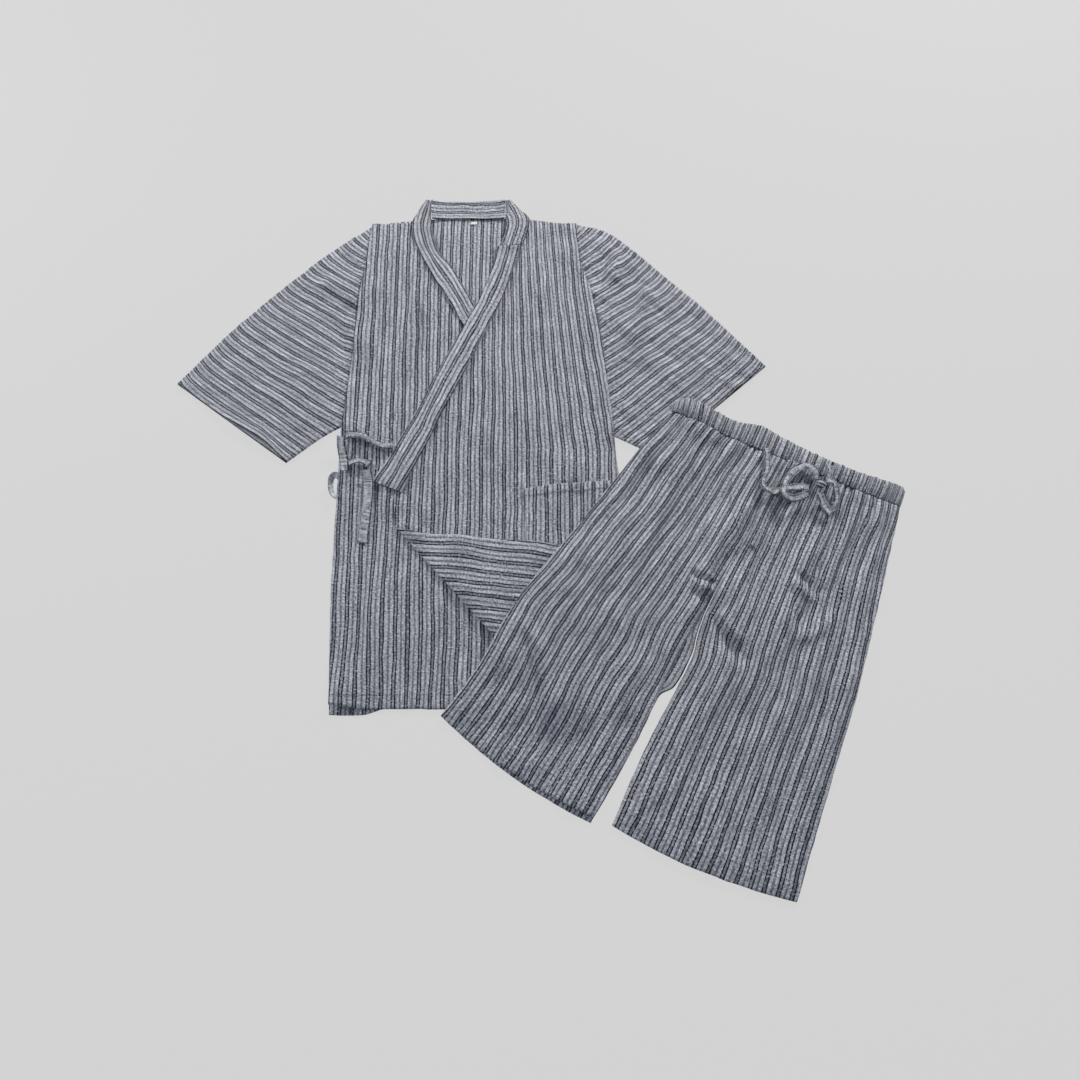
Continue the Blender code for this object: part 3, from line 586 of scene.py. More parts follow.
class Garment:
    """Lays pieces in one garment's frame, on the shared ground."""

    def __init__(self, at, turn, ground):
        self.at = at
        self.cos, self.sin = math.cos(turn), math.sin(turn)
        self.ground = ground

    def world(self, x, y):
        return self.at[0] + self.cos * x - self.sin * y, self.at[1] + self.sin * x + self.cos * y

    def panel(self, node, table, cell, weave, creases=(), loft=0.0, dome=0.0, wall=WALL,
              extra=None, edge=0.016, slope=PANEL_SLOPE, reach=2, trim=None, **bow):
        """One flat panel, laid, with its soft relief. weave and extra work on its own x, y, u and v.

        trim shifts its hem along y.
        """
        width, length = table_size(table)
        mesh, u, v = new_grid(node, math.ceil(width / cell), math.ceil(length / cell))
        x, y = on_sections(table, u, v, **bow)
        if trim:
            y = y + trim(x) * smooth_step(0.92, 1.0, v)
        wobble = 0.0005 * ripple(x, y, 0.013, 0.013, 3)
        x, y = x + wobble * (np.abs(u - 0.5) > 0.499), y + wobble * (np.abs(v - 0.5) > 0.499)
        wx, wy = self.world(x, y)
        rise, pull = crease_field(creases, x, y)
        inside = smooth_step(0, edge, np.minimum(np.minimum(u, 1 - u) * width,
                                                 np.minimum(v, 1 - v) * length))
        soft = 0.62 + 0.38 * ripple(x, y, 0.045, 0.11, len(node))
        fine = crinkle(x, y, 5) * (cell < COARSE)
        relief = (loft * soft + fine) * inside + rise + dome * (1 - (2 * u - 1) ** 4)
        if extra:
            more, more_pull = extra(x, y, u, v)
            relief, pull = relief + more, pull + more_pull
        z = self.ground.rest(wx, wy, slope, reach) + np.maximum(relief, 0.0)
        write_points(mesh, wx, wy, z)
        across, along = weave(x, y, u, v)
        sway = stripe_sway(x, y)
        write_weave(mesh, across + sway + pull, along)
        self.ground.add(mesh, wall)
        return add_piece(node + "_cloth", mesh, STRIPED, [node], wall)

    def tube(self, node, locate, widths, cell, length, height, wall, weave, relief, roll=0.0025,
             hold=False):
        """A flattened tube of two layers, with a round fold at each side.

        locate gives x and y from how far across and along the tube a point is. relief gives the
        height added to a layer and its shift along the tube.
        """
        turns = 4
        across = math.ceil(widths.max() / cell)
        runs = across + 2 * turns
        rows = math.ceil(length / cell)
        mesh, u, v = new_grid(node, 2 * runs, rows)
        column = np.rint(u * 2 * runs).astype(int)
        upper = column > runs
        place = np.where(upper, 2 * runs - column, column)
        width = np.interp(v, np.linspace(0, 1, len(widths)), widths)
        near = np.minimum(place, runs - place)
        angle = np.minimum(near, turns) / turns * math.pi / 2
        rolled = roll * (1 - np.cos(angle))
        middle = roll + (width - 2 * roll) * (near - turns) / max(1, runs - 2 * turns)
        inward = np.where(near <= turns, rolled, middle)
        k = np.where(place <= runs - place, inward, width - inward) / width
        full = np.sin(angle)
        x, y = locate(k, v)
        rise, slide_x, slide_y = relief(x, y, k, v, upper)
        across_bolt, along_bolt = weave(x, y, k, v)
        x, y = x + slide_x * full, y + slide_y * full
        wx, wy = self.world(x, y)
        rest = self.ground.rest(wx, wy)
        level = height / 2 * np.where(upper, 1 + full, 1 - full)
        write_points(mesh, wx, wy, rest + level + np.maximum(rise, -height * 0.7) * full * upper)
        write_weave(mesh, across_bolt, along_bolt)
        body = bmesh.new()
        body.from_mesh(mesh)
        bmesh.ops.remove_doubles(body, verts=body.verts, dist=0.00005)
        bmesh.ops.recalc_face_normals(body, faces=body.faces)
        highest = max(body.faces, key=lambda face: face.calc_center_median().z)
        if highest.normal.z < 0:
            bmesh.ops.reverse_faces(body, faces=body.faces)
        body.to_mesh(mesh)
        body.free()
        self.ground.add(mesh, 0.0, hold)
        return add_piece(node + "_cloth", mesh, STRIPED, [node], wall, -1)

    def route(self, table, steps):
        """Points of a tape's middle line in the world: x, y, the lift and the tilt."""
        x, y, lift, tilt = smooth_rows(table, np.linspace(0, 1, steps + 1))
        wx, wy = self.world(x, y)
        return wx, wy, lift, np.radians(tilt)

    def tape(self, node, table, width, thickness, phase, crumple=0.0, ease=1.0, flatten=1.0):
        """A folded and stitched tape swept along a route: a flat ring of points, closed at both ends.

        ease is how much of the bolt its face shows for its width, and flatten scales the route's tilt.
        """
        length = np.hypot(*np.diff(np.array(table)[:, :2], axis=0).T).sum()
        steps = max(12, math.ceil(length / 0.0013))
        around = 16
        wx, wy, lift, tilt = self.route(table, steps)
        tilt = tilt * flatten
        rest = self.ground.rest(wx, wy, TAPE_SLOPE, math.ceil(width * 0.6 / MAP_CELL))
        rest = np.convolve(np.pad(rest, 4, mode="edge"), np.ones(9) / 9, "valid")
        level = rest + lift + thickness / 2 + np.abs(np.sin(tilt)) * width / 2
        forward = np.column_stack((np.gradient(wx), np.gradient(wy)))
        forward /= np.linalg.norm(forward, axis=1)[:, None]
        mesh, u, v = new_grid(node, around, steps)
        i = np.rint(v * steps).astype(int)
        turn = u * 2 * math.pi
        reach = width / 2 * np.sign(np.cos(turn)) * np.abs(np.cos(turn)) ** 0.55
        skin = thickness / 2 * np.sign(np.sin(turn)) * np.abs(np.sin(turn)) ** 0.7
        run = v * length
        wave = crumple * ripple(run, reach, 0.006, 0.006, len(node) + 3)
        fold = crumple * 1.2 * np.sin(reach / width * 5 + 3 * ripple(run, run, 0.012, 0.012, 8))
        skin = skin + (wave + fold) * (1 - (2 * v - 1) ** 6)
        squeeze = 1 - crumple * 420 * (0.5 + 0.5 * ripple(run, run * 0, 0.011, 0.011, 21))
        reach = reach * np.clip(squeeze, 0.80, 1.0)
        side = np.column_stack((forward[i, 1], -forward[i, 0]))
        lean, upright = np.cos(tilt[i]), np.sin(tilt[i])
        px = wx[i] + side[:, 0] * (reach * lean - skin * upright)
        py = wy[i] + side[:, 1] * (reach * lean - skin * upright)
        pz = level[i] + reach * upright + skin * lean
        floor = self.ground.rest(px, py, 3.0, 0) - 0.0008
        pz = np.maximum(pz, floor)
        write_points(mesh, px, py, pz)
        write_weave(mesh, u * 2 * width * ease + phase, run)
        body = bmesh.new()
        body.from_mesh(mesh)
        bmesh.ops.remove_doubles(body, verts=body.verts, dist=0.00001)
        rims = [edge for edge in body.edges if edge.is_boundary]
        bmesh.ops.holes_fill(body, edges=rims, sides=0)
        bmesh.ops.recalc_face_normals(body, faces=body.faces)
        body.to_mesh(mesh)
        body.free()
        self.ground.add(mesh, 0.0)
        piece = add_piece(node + "_cloth", mesh, STRIPED, [node])
        path = [Vector((wx[k], wy[k], level[k])) for k in range(0, steps + 1, max(1, steps // 24))]
        return piece, path


# ---------------------------------------------------------------------------------------------
# Materials
# ---------------------------------------------------------------------------------------------

class Wire:
    """A shader socket that can be used in a Python expression."""

    def __init__(self, nodes, socket):
        self.nodes = nodes
        self.socket = socket

    def math(self, operation, *others):
        return self.nodes.make("ShaderNodeMath", {"operation": operation}, [self, *others])

    def __add__(self, other):
        return self.math("ADD", other)

    __radd__ = __add__

    def __mul__(self, other):
        return self.math("MULTIPLY", other)

    __rmul__ = __mul__

    def __sub__(self, other):
        return self.math("SUBTRACT", other)


class Nodes:
    """The node tree of one material."""

    def __init__(self, name):
        self.material = bpy.data.materials.new(name)
        self.material.use_nodes = True
        self.tree = self.material.node_tree
        self.shader = self.tree.nodes["Principled BSDF"]

    def make(self, kind, settings=None, inputs=(), output=0):
        """One node: its settings first, then the values or wires of its sockets."""
        node = self.tree.nodes.new(kind)
        for name, value in (settings or {}).items():
            if name == "stops":
                self.set_stops(node.color_ramp, value)
            else:
                setattr(node, name, value)
        pairs = inputs.items() if isinstance(inputs, dict) else enumerate(inputs)
        for name, value in pairs:
            self.plug(node.inputs[name], value)
        return Wire(self, node.outputs[output])

    def plug(self, socket, value):
        if isinstance(value, Wire):
            self.tree.links.new(value.socket, socket)
        elif value is not None:
            socket.default_value = value

    @staticmethod
    def set_stops(ramp, stops):
        while len(ramp.elements) < len(stops):
            ramp.elements.new(0.5)
        for element, (position, colour) in zip(ramp.elements, stops):
            element.position = position
            element.color = (*colour, 1.0)

    def mix(self, blend, factor, first, second):
        return self.make("ShaderNodeMix", {"data_type": "RGBA", "blend_type": blend},
                         {0: factor, 6: first, 7: second}, output=2)

    def noise(self, vector, scale=1.0, detail=2.0, roughness=0.5):
        inputs = {"Vector": vector, "Scale": scale, "Detail": detail, "Roughness": roughness}
        return self.make("ShaderNodeTexNoise", {"noise_dimensions": "2D"}, inputs)

    def point(self, across, along):
        return self.make("ShaderNodeCombineXYZ", inputs=[across, along])

    def between(self, value, low, high):
        """0 below low, 1 above high."""
        return self.make("ShaderNodeMapRange", {"clamp": True}, {0: value, 1: low, 2: high})

    def finish(self, **values):
        for name, value in values.items():
            self.plug(self.shader.inputs[name.replace("_", " ")], value)
        return self.material


def linear(red, green, blue):
    """A colour as the eye names it, 0 to 255, as the shader takes it."""
    return tuple(((c / 255 + 0.055) / 1.055) ** 2.4 if c > 10 else c / 3295 for c in (red, green, blue))


NAVY = linear(15, 17, 29)
MID_BRIGHT = linear(150, 154, 165)
MID_DIM = linear(133, 137, 149)
PALE = linear(192, 195, 204)
STREAK = linear(128, 132, 144)
# Painted highlight: the near-white laid over the raised tops of the puckers
PUCKER_HIGHLIGHT = linear(232, 234, 240)

# The chart of one repeat, in millimetres from the middle of the bright pair of lines. Each thread
# band has a colour, and neighbours meet over a short blend.
Thread = namedtuple("Thread", "start colour")
HALF_CHART = [
    Thread(0.0, MID_BRIGHT),
    Thread(1.30, NAVY),
    Thread(3.05, PALE),
    Thread(7.0, STREAK),
    Thread(9.7, PALE),
    Thread(14.00, NAVY),
    Thread(15.65, MID_DIM),
]
BLEND = 0.20


def stripe_stops():
    """Both halves of the repeat as ramp stops, mirrored about the middle of the dim pair."""
    repeat = REPEAT * 1000
    bands = [(t.start, t.colour) for t in HALF_CHART]
    mirrored = [(repeat - t.start, before.colour)
                for before, t in zip(reversed(HALF_CHART[:-1]), reversed(HALF_CHART[1:]))]
    bands += mirrored
    stops = [(0.0, bands[0][1])]
    for (_, before), (start, colour) in zip(bands, bands[1:]):
        stops.append(((start - BLEND) / repeat, before))
        stops.append(((start + BLEND) / repeat, colour))
    return stops


def striped_cotton():
    """Yarn-dyed crinkled cotton: charted stripes and heathered yarns, with painted light and shade on the
    puckers across the warp: paler on their raised tops, with a painted near-white highlight at the highest.
    """
    nodes = Nodes("striped_cotton")
    bolt = nodes.make("ShaderNodeUVMap", {"uv_map": "weave"})
    split = nodes.make("ShaderNodeSeparateXYZ", inputs=[bolt])
    across = split
    along = Wire(nodes, split.socket.node.outputs[1])
    drift = nodes.noise(nodes.point(across * 160, along * 420), detail=1.0) - 0.5
    chart_at = ((across + drift * 0.0006) * (1 / REPEAT)).math("FRACT")
    stripe = nodes.make("ShaderNodeValToRGB", {"stops": stripe_stops()}, [chart_at])
    yarn = nodes.noise(nodes.point(across * 900, along * 380), detail=2.0, roughness=0.6)
    pucker = nodes.noise(nodes.point(across * 300, along * 430), detail=1.0, roughness=0.6)
    streak = nodes.noise(nodes.point(across * 420, along * 40), detail=1.0)
    crinkle = nodes.noise(nodes.point(across * 130, along * 210), detail=2.0, roughness=0.6)
    cloud = nodes.noise(nodes.point(across * 40, along * 25), detail=2.0)
    # The yarn, streak and cloud terms are the cloth's own heathered tone. The pucker term is painted light
    # and shade, lighter on the puckers' raised tops and darker between them, from the same noise that raises
    # them in the bump.
    shade = (yarn * 1.0 + pucker * 1.5 + streak * 0.8 + cloud * 0.5 - 0.90).math("MAXIMUM", 0.30)
    grey = nodes.make("ShaderNodeCombineXYZ", inputs=[shade, shade, shade])
    heathered_and_pucker_shaded = nodes.mix("MULTIPLY", 1.0, stripe, grey)
    # Painted highlight: near-white where the puckers stand highest, from the same noise that raises them in
    # the bump
    pucker_highlight = nodes.between(pucker + yarn * 0.6, 0.92, 1.10) * 0.6
    colour = nodes.mix("MIX", pucker_highlight, heathered_and_pucker_shaded, (*PUCKER_HIGHLIGHT, 1.0))
    warp = (across * (2 * math.pi / 0.00052)).math("SINE")
    weft = (along * (2 * math.pi / 0.00060)).math("SINE")
    fold = nodes.noise(nodes.point(across * 85, along * 13), detail=2.0, roughness=0.55)
    height = pucker * 0.0009 + crinkle * 0.0016 + fold * 0.0050 + warp * weft * 0.000035 + yarn * 0.00016
    bump = nodes.make("ShaderNodeBump", None, {"Strength": 0.9, "Distance": 1.0, "Height": height})
    return nodes.finish(Base_Color=colour, Roughness=nodes.between(yarn, -0.6, 1.4) * 0.25 + 0.74,
                        Normal=bump, Sheen_Weight=0.12, Sheen_Roughness=0.5, Specular_IOR_Level=0.18)


def white_tape():
    nodes = Nodes("label_tape")
    spot = nodes.make("ShaderNodeTexCoord", output=3)
    split = nodes.make("ShaderNodeSeparateXYZ", inputs=[spot])
    up = Wire(nodes, split.socket.node.outputs[1])
    rib = (split * 7000).math("SINE") * (up * 9000).math("SINE")
    colour = nodes.mix("MIX", rib * 0.15 + 0.15, (*linear(240, 240, 236), 1), (*linear(214, 214, 210), 1))
    bump = nodes.make("ShaderNodeBump", None, {"Strength": 0.5, "Distance": 1.0, "Height": rib * 0.00004})
    return nodes.finish(Base_Color=colour, Roughness=0.6, Normal=bump, Sheen_Weight=0.1)


def sewing_thread(name, colour):
    nodes = Nodes(name)
    spot = nodes.make("ShaderNodeTexCoord", output=3)
    fuzz = nodes.make("ShaderNodeTexNoise", None, {"Vector": spot, "Scale": 2500.0, "Detail": 1.0})
    shade = nodes.mix("MIX", fuzz, (*[c * 0.7 for c in colour], 1), (*[min(1, c * 1.35) for c in colour], 1))
    bump = nodes.make("ShaderNodeBump", None, {"Strength": 0.4, "Distance": 1.0, "Height": fuzz * 0.00005})
    return nodes.finish(Base_Color=shade, Roughness=0.62, Normal=bump, Sheen_Weight=0.2)


STRIPED = striped_cotton()
WHITE_TAPE = white_tape()
NAVY_THREAD = sewing_thread("navy_thread", linear(34, 37, 50))

# ---------------------------------------------------------------------------------------------
# Stitches
# ---------------------------------------------------------------------------------------------

STITCH_PITCH = 0.0032
STITCH_LENGTH = 0.0023
STITCH_RADIUS = 0.00034


def stitch_row(body, garment, points, pitch=STITCH_PITCH, radius=STITCH_RADIUS, length=STITCH_LENGTH):
    """A row of small round-ended stitches lying on the cloth, along points in the garment's frame."""
    x, y = np.array(points, dtype=float).T
    run = np.concatenate(([0.0], np.cumsum(np.hypot(np.diff(x), np.diff(y)))))
    starts = np.arange(pitch * 0.4, run[-1] - length, pitch)
    for start in starts:
        ends = np.array([start, start + length])
        wx, wy = garment.world(np.interp(ends, run, x), np.interp(ends, run, y))
        wz = garment.ground.top(wx, wy) + radius * 0.35
        add_stitch(body, Vector((wx[0], wy[0], wz[0])), Vector((wx[1], wy[1], wz[1])), radius)


def add_stitch(body, start, end, radius):
    middle = (start + end) / 2
    axis = end - start
    made = bmesh.ops.create_uvsphere(body, u_segments=6, v_segments=4, radius=0.5)
    turn = Vector((0, 0, 1)).rotation_difference(axis.normalized()).to_matrix()
    for vertex in made["verts"]:
        thick = Vector((vertex.co.x * 2 * radius, vertex.co.y * 2 * radius, vertex.co.z * axis.length))
        vertex.co = middle + turn @ thick


def finish_stitches(name, body):
    mesh = bpy.data.meshes.new(name)
    body.to_mesh(mesh)
    body.free()
    return add_piece(name, mesh, NAVY_THREAD)


def along_panel(table, u0, v0, u1, v1, steps=60, inset_y=0.0, **bow):
    """Points on a panel along a straight run of its u and v."""
    t = np.linspace(0, 1, steps)
    x, y = on_sections(table, u0 + (u1 - u0) * t, v0 + (v1 - v0) * t, **bow)
    return np.column_stack((x, y + inset_y))


# ---------------------------------------------------------------------------------------------
# Jacket
# ---------------------------------------------------------------------------------------------

def straight_weave(phase, lean=0.0, level=0.0, ease=1.0):
    """Stripes down the panel. phase is where a bright pair runs at the given level."""
    def weave(x, y, u, v):
        return (x - phase + lean * (y - level)) * ease, y
    return weave


def outer_front_weave(x, y, u, v):
    """Straight from the middle to the hem, fanned in towards the shoulder beside the armhole."""
    fan = 0.8 * np.maximum(x - 0.03, 0) * np.maximum(y + 0.40, 0)
    return x + OUTER_FRONT_PHASE + fan, y


def sleeve_weave(cuff_from, cuff_to, inner_turn, phase):
    """Stripes along the cuff, turning a little towards the armhole and bending at the top fold."""
    middle = (np.array(cuff_from) + np.array(cuff_to)) / 2

    def away(x, y, direction):
        side = np.array((direction[1], -direction[0])) / np.hypot(*direction)
        if np.dot(-middle, side) < 0:
            side = -side
        return (x - middle[0]) * side[0] + (y - middle[1]) * side[1], side

    def weave(x, y, k, v):
        along = np.array(cuff_to) - np.array(cuff_from)
        near, _ = away(x, y, along)
        inner = (along[0] * math.cos(inner_turn) - along[1] * math.sin(inner_turn),
                 along[0] * math.sin(inner_turn) + along[1] * math.cos(inner_turn))
        far, _ = away(x, y, inner)
        blend = smooth_step(0.01, 0.14, near)
        distance = near * (1 - blend) + far * blend
        bend = 0.0065 * np.exp(-k * 0.25 / 0.014)
        sway = 0.0012 * ripple(x, y, 0.05, 0.05, 31)
        return (distance - phase - bend + sway) * SLEEVE_EASE, k * 0.3
    return weave


INNER_FRONT_CREASES = [
    Crease(-0.070, -0.090, -0.084, -0.300, 0.003, 0.004, 0.012, 0.0056, 0.0),
    Crease(-0.080, -0.090, -0.094, -0.300, 0.003, 0.007, 0.004, -0.0040, 0.0030),
    Crease(-0.120, -0.030, -0.116, -0.200, 0.003, 0.005, 0.010, 0.0030, 0.0),
    Crease(-0.103, -0.020, -0.083, -0.330, 0.010, 0.006, 0.016, -0.0030, 0.0030),
    Crease(-0.125, -0.015, -0.100, -0.250, 0.006, 0.014, 0.010, 0.0022, 0.0),
    Crease(-0.062, -0.160, -0.052, -0.300, 0.004, 0.006, 0.010, -0.0020, 0.0015),
    Crease(-0.145, -0.330, -0.120, -0.470, 0.004, 0.010, 0.014, 0.0018, 0.0),
    Crease(-0.110, -0.560, -0.104, -0.740, 0.004, 0.014, 0.010, 0.0016, 0.0010),
    Crease(-0.150, -0.600, -0.146, -0.770, 0.0, 0.010, 0.010, 0.0014, 0.0),
]
OUTER_FRONT_CREASES = [
    Crease(0.075, -0.090, 0.095, -0.340, 0.006, 0.010, 0.018, -0.0022, 0.0018),
    Crease(0.118, -0.030, 0.135, -0.300, 0.006, 0.016, 0.012, 0.0022, -0.0015),
    Crease(0.150, -0.060, 0.178, -0.380, -0.006, 0.010, 0.014, -0.0018, 0.0012),
    Crease(0.165, -0.030, 0.185, -0.120, 0.0, 0.006, 0.012, 0.0026, -0.0010),
    Crease(0.010, -0.300, 0.020, -0.500, 0.004, 0.014, 0.010, -0.0016, 0.0012),
    Crease(0.055, -0.350, 0.060, -0.560, 0.0, 0.012, 0.014, 0.0016, 0.0),
    Crease(-0.040, -0.400, -0.045, -0.520, 0.002, 0.008, 0.012, 0.0014, 0.0010),
    Crease(0.130, -0.350, 0.200, -0.420, 0.006, 0.012, 0.016, -0.0014, 0.0),
]
SLEEVE_RIGHT_CREASES = [
    Crease(-0.236, -0.102, -0.152, -0.160, -0.004, 0.010, 0.022, 0.0050, 0.0),
    Crease(-0.222, -0.120, -0.150, -0.185, 0.000, 0.012, 0.010, -0.0034, 0.0030),
    Crease(-0.232, -0.112, -0.150, -0.172, 0.000, 0.005, 0.008, 0.0034, 0.0),
    Crease(-0.200, -0.060, -0.158, -0.100, 0.003, 0.008, 0.010, -0.0022, 0.0018),
    Crease(-0.186, -0.178, -0.178, -0.262, 0.004, 0.005, 0.012, -0.0030, 0.0026),
    Crease(-0.170, -0.150, -0.166, -0.250, 0.000, 0.006, 0.008, 0.0034, 0.0),
    Crease(-0.300, -0.330, -0.318, -0.395, 0.003, 0.008, 0.014, -0.0020, 0.0024),
    Crease(-0.250, -0.250, -0.230, -0.330, 0.006, 0.016, 0.020, 0.0022, 0.0),
    Crease(-0.360, -0.250, -0.300, -0.290, 0.004, 0.018, 0.020, 0.0016, 0.0014),
]
SLEEVE_LEFT_CREASES = [
    Crease(0.235, -0.050, 0.222, -0.130, -0.006, 0.007, 0.012, 0.0044, -0.0030),
    Crease(0.214, -0.045, 0.206, -0.135, -0.003, 0.006, 0.009, -0.0030, 0.0024),
    Crease(0.262, -0.090, 0.240, -0.190, -0.010, 0.010, 0.016, -0.0026, 0.0030),
    Crease(0.280, -0.095, 0.250, -0.240, -0.010, 0.014, 0.012, 0.0034, -0.0020),
    Crease(0.255, -0.200, 0.245, -0.340, 0.004, 0.012, 0.018, -0.0020, 0.0020),
    Crease(0.330, -0.180, 0.300, -0.330, -0.008, 0.018, 0.020, 0.0020, 0.0016),
    Crease(0.200, -0.170, 0.226, -0.200, 0.000, 0.005, 0.008, 0.0024, 0.0),
]


JACKET_HEM = 0.012                             # depth of its doubled hem
HEM_PUCKER = 0.0004
BACK_CELL = 0.0040
OUTER_FRONT_PHASE = 0.021                      # where its stripes start on the bolt
POCKET_OFF_MATCH = 0.0075                      # how far the pocket's stripes miss the front's
COLLAR_CELL = 0.0024
COLLAR_DOME = 0.0007
COLLAR_SLOPE = 0.45                            # a firm band bridges what lies under it
COLLAR_WAVES = 0.0005


def sleeve_relief(creases, cuff_lift, outward):
    """Creases on the upper layer, and an opening at the cuff beside the underarm."""
    def relief(x, y, k, v, upper):
        rise, _ = crease_field(creases, x, y)
        soft = 0.0022 * (0.6 + 0.4 * ripple(x, y, 0.05, 0.07, 41)) * smooth_step(0, 0.10, v)
        gathers = 0.0011 * ripple(y, x, 0.013, 0.05, 42) * smooth_step(0.28, 0.0, v)
        fine = crinkle(y * 0.8 + x * 0.6, x * 0.8 - y * 0.6, 43)
        mouth = cuff_lift * bell(k - 0.66, 0.26) * smooth_step(0.80, 1.0, v)
        back = 0.0060 * (cuff_lift > 0.002) * bell(k - 0.74, 0.20) * smooth_step(0.86, 1.0, v)
        slide = np.where(upper, back, 0.0)
        total = (rise + soft + gathers + fine) * smooth_step(0, 0.03, v) + mouth
        return total, -outward[0] * slide, -outward[1] * slide
    return relief


def build_sleeve(jacket, node, table, creases, inner_turn, phase, cuff_lift):
    rows = [table[0]._replace(left_x=table[0].left_x - math.copysign(ARMHOLE_TUCK, table[0].left_x),
                              right_x=table[0].right_x - math.copysign(ARMHOLE_TUCK, table[0].right_x))]
    rows += table[1:]
    ends = np.array(rows)
    widths = np.hypot(ends[:, 2] - ends[:, 0], ends[:, 3] - ends[:, 1])
    cuff_from, cuff_to = ends[-1, :2], ends[-1, 2:]
    outward = (cuff_from + cuff_to) / 2 - (ends[0, :2] + ends[0, 2:]) / 2
    outward = outward / np.hypot(*outward)
    _, length = table_size(rows)
    sleeve = jacket.tube(
        node, lambda k, v: on_sections(rows, k, v), widths, FINE * 1.1, length, SLEEVE_HEIGHT, WALL,
        sleeve_weave(cuff_from, cuff_to, inner_turn, phase),
        sleeve_relief(creases, cuff_lift, outward))


def hem_relief(table, depth, lift=()):
    """A doubled hem with small puckers along its stitching. lift raises stretches of its edge."""
    _, length = table_size(table)

    def relief(x, y, u, v):
        above = (1 - v) * length
        doubled = 0.0007 * smooth_step(depth + 0.0035, depth - 0.0005, above)
        puckers = HEM_PUCKER * ripple(x, y, 0.006, 0.03, 51) * bell(above - depth, 0.012)
        rise = doubled + puckers
        for at, width, height, reach in lift:
            rise = rise + height * bell(x - at, width) * smooth_step(reach, 0.0, above)
        return rise, 0.0
    return relief


def build_outer_front(jacket):
    """The outer front, its lower corner turned back over a slanting roll on top of the pocket."""
    node = "jacket_front_left"
    width, length = table_size(FRONT_LEFT)
    mesh, u, v = new_grid(node, math.ceil(width / FINE), math.ceil(length / FINE))
    x, y = on_sections(FRONT_LEFT, u, v)
    x = x + 0.0005 * ripple(x, y, 0.013, 0.013, 3) * (np.abs(u - 0.5) > 0.499)
    write_points(mesh, x, y, np.minimum(np.minimum(u, 1 - u) * width, np.minimum(v, 1 - v) * length))
    flat = bmesh.new()
    flat.from_mesh(mesh)
    start = Vector((*CORNER_FOLD, 0))
    beyond = Vector((math.sin(CORNER_FOLD_TURN), -math.cos(CORNER_FOLD_TURN), 0))
    roll_length = math.pi * CORNER_ROLL
    for part in (-0.6, 0.0, 0.16, 0.33, 0.5, 0.67, 0.84, 1.0, 1.6):
        bmesh.ops.bisect_plane(flat, geom=flat.verts[:] + flat.edges[:] + flat.faces[:],
                               plane_co=start + beyond * (roll_length * part), plane_no=beyond)
    flat.to_mesh(mesh)
    flat.free()

    x, y, from_edge = read_points(mesh).T
    past = (x - start.x) * beyond.x + (y - start.y) * beyond.y
    under = np.maximum(past, 0.0)
    foot_x, foot_y = x - beyond.x * under, y - beyond.y * under
    rise, pull = crease_field(OUTER_FRONT_CREASES, foot_x, foot_y)
    inside = smooth_step(0, 0.016, np.minimum(from_edge, np.maximum(-past, 0) + 0.002))
    soft = 0.0026 * (0.6 + 0.4 * ripple(foot_x, foot_y, 0.045, 0.12, 61)) * inside
    fine = crinkle(foot_x, foot_y, 5) * inside
    shoulder = 0.0016 * ripple(foot_x, foot_y, 0.010, 0.05, 62) * smooth_step(-0.10, -0.03, foot_y) * inside
    wx, wy = jacket.world(foot_x, foot_y)
    lower = jacket.ground.rest(wx, wy) + np.maximum(soft + fine + shoulder + rise * inside, 0)
    write_points(mesh, wx, wy, lower)
    jacket.ground.add(mesh, WALL, keep=past <= 1e-5)

    build_pocket(jacket)

    turned = np.clip(past / roll_length, 0, 1)
    back = np.maximum(past - roll_length, 0.0)
    slide = np.where(past > 0, CORNER_ROLL * np.sin(math.pi * turned) - back, 0.0)
    px, py = foot_x + beyond.x * slide, foot_y + beyond.y * slide
    wx, wy = jacket.world(px, py)
    edge_fade = smooth_step(0, 0.02, from_edge)
    puff = 0.0030 * smooth_step(0, 0.05, back) * edge_fade * (0.55 + 0.45 * ripple(px, py, 0.07, 0.035, 63))
    bulge = 0.0022 * bell(back - 0.010, 0.012) * (past > 0)
    lifted_edge = 0.0016 * (0.5 + 0.5 * ripple(px, py, 0.05, 0.5, 64)) * (1 - edge_fade) * (back > 0.004)
    upper = jacket.ground.rest(wx, wy) + WALL + np.maximum(puff, 0) + bulge + lifted_edge
    z = np.where(past > 1e-6, lower + (upper - lower) * (1 - np.cos(math.pi * turned)) / 2, lower)
    write_points(mesh, wx, wy, z)
    across, along = outer_front_weave(x, y, u=None, v=None)
    sway = stripe_sway(x, y)
    bend = 0.004 * ripple(y, x, 0.10, 0.3, 65) * smooth_step(0.0, 0.05, past)
    write_weave(mesh, across + sway + pull + bend, along)
    jacket.ground.add(mesh, WALL / 4)
    front = add_piece(node + "_cloth", mesh, STRIPED, [node], WALL)


def pocket_weave(x, y, u, v):
    return x + OUTER_FRONT_PHASE + POCKET_OFF_MATCH, y


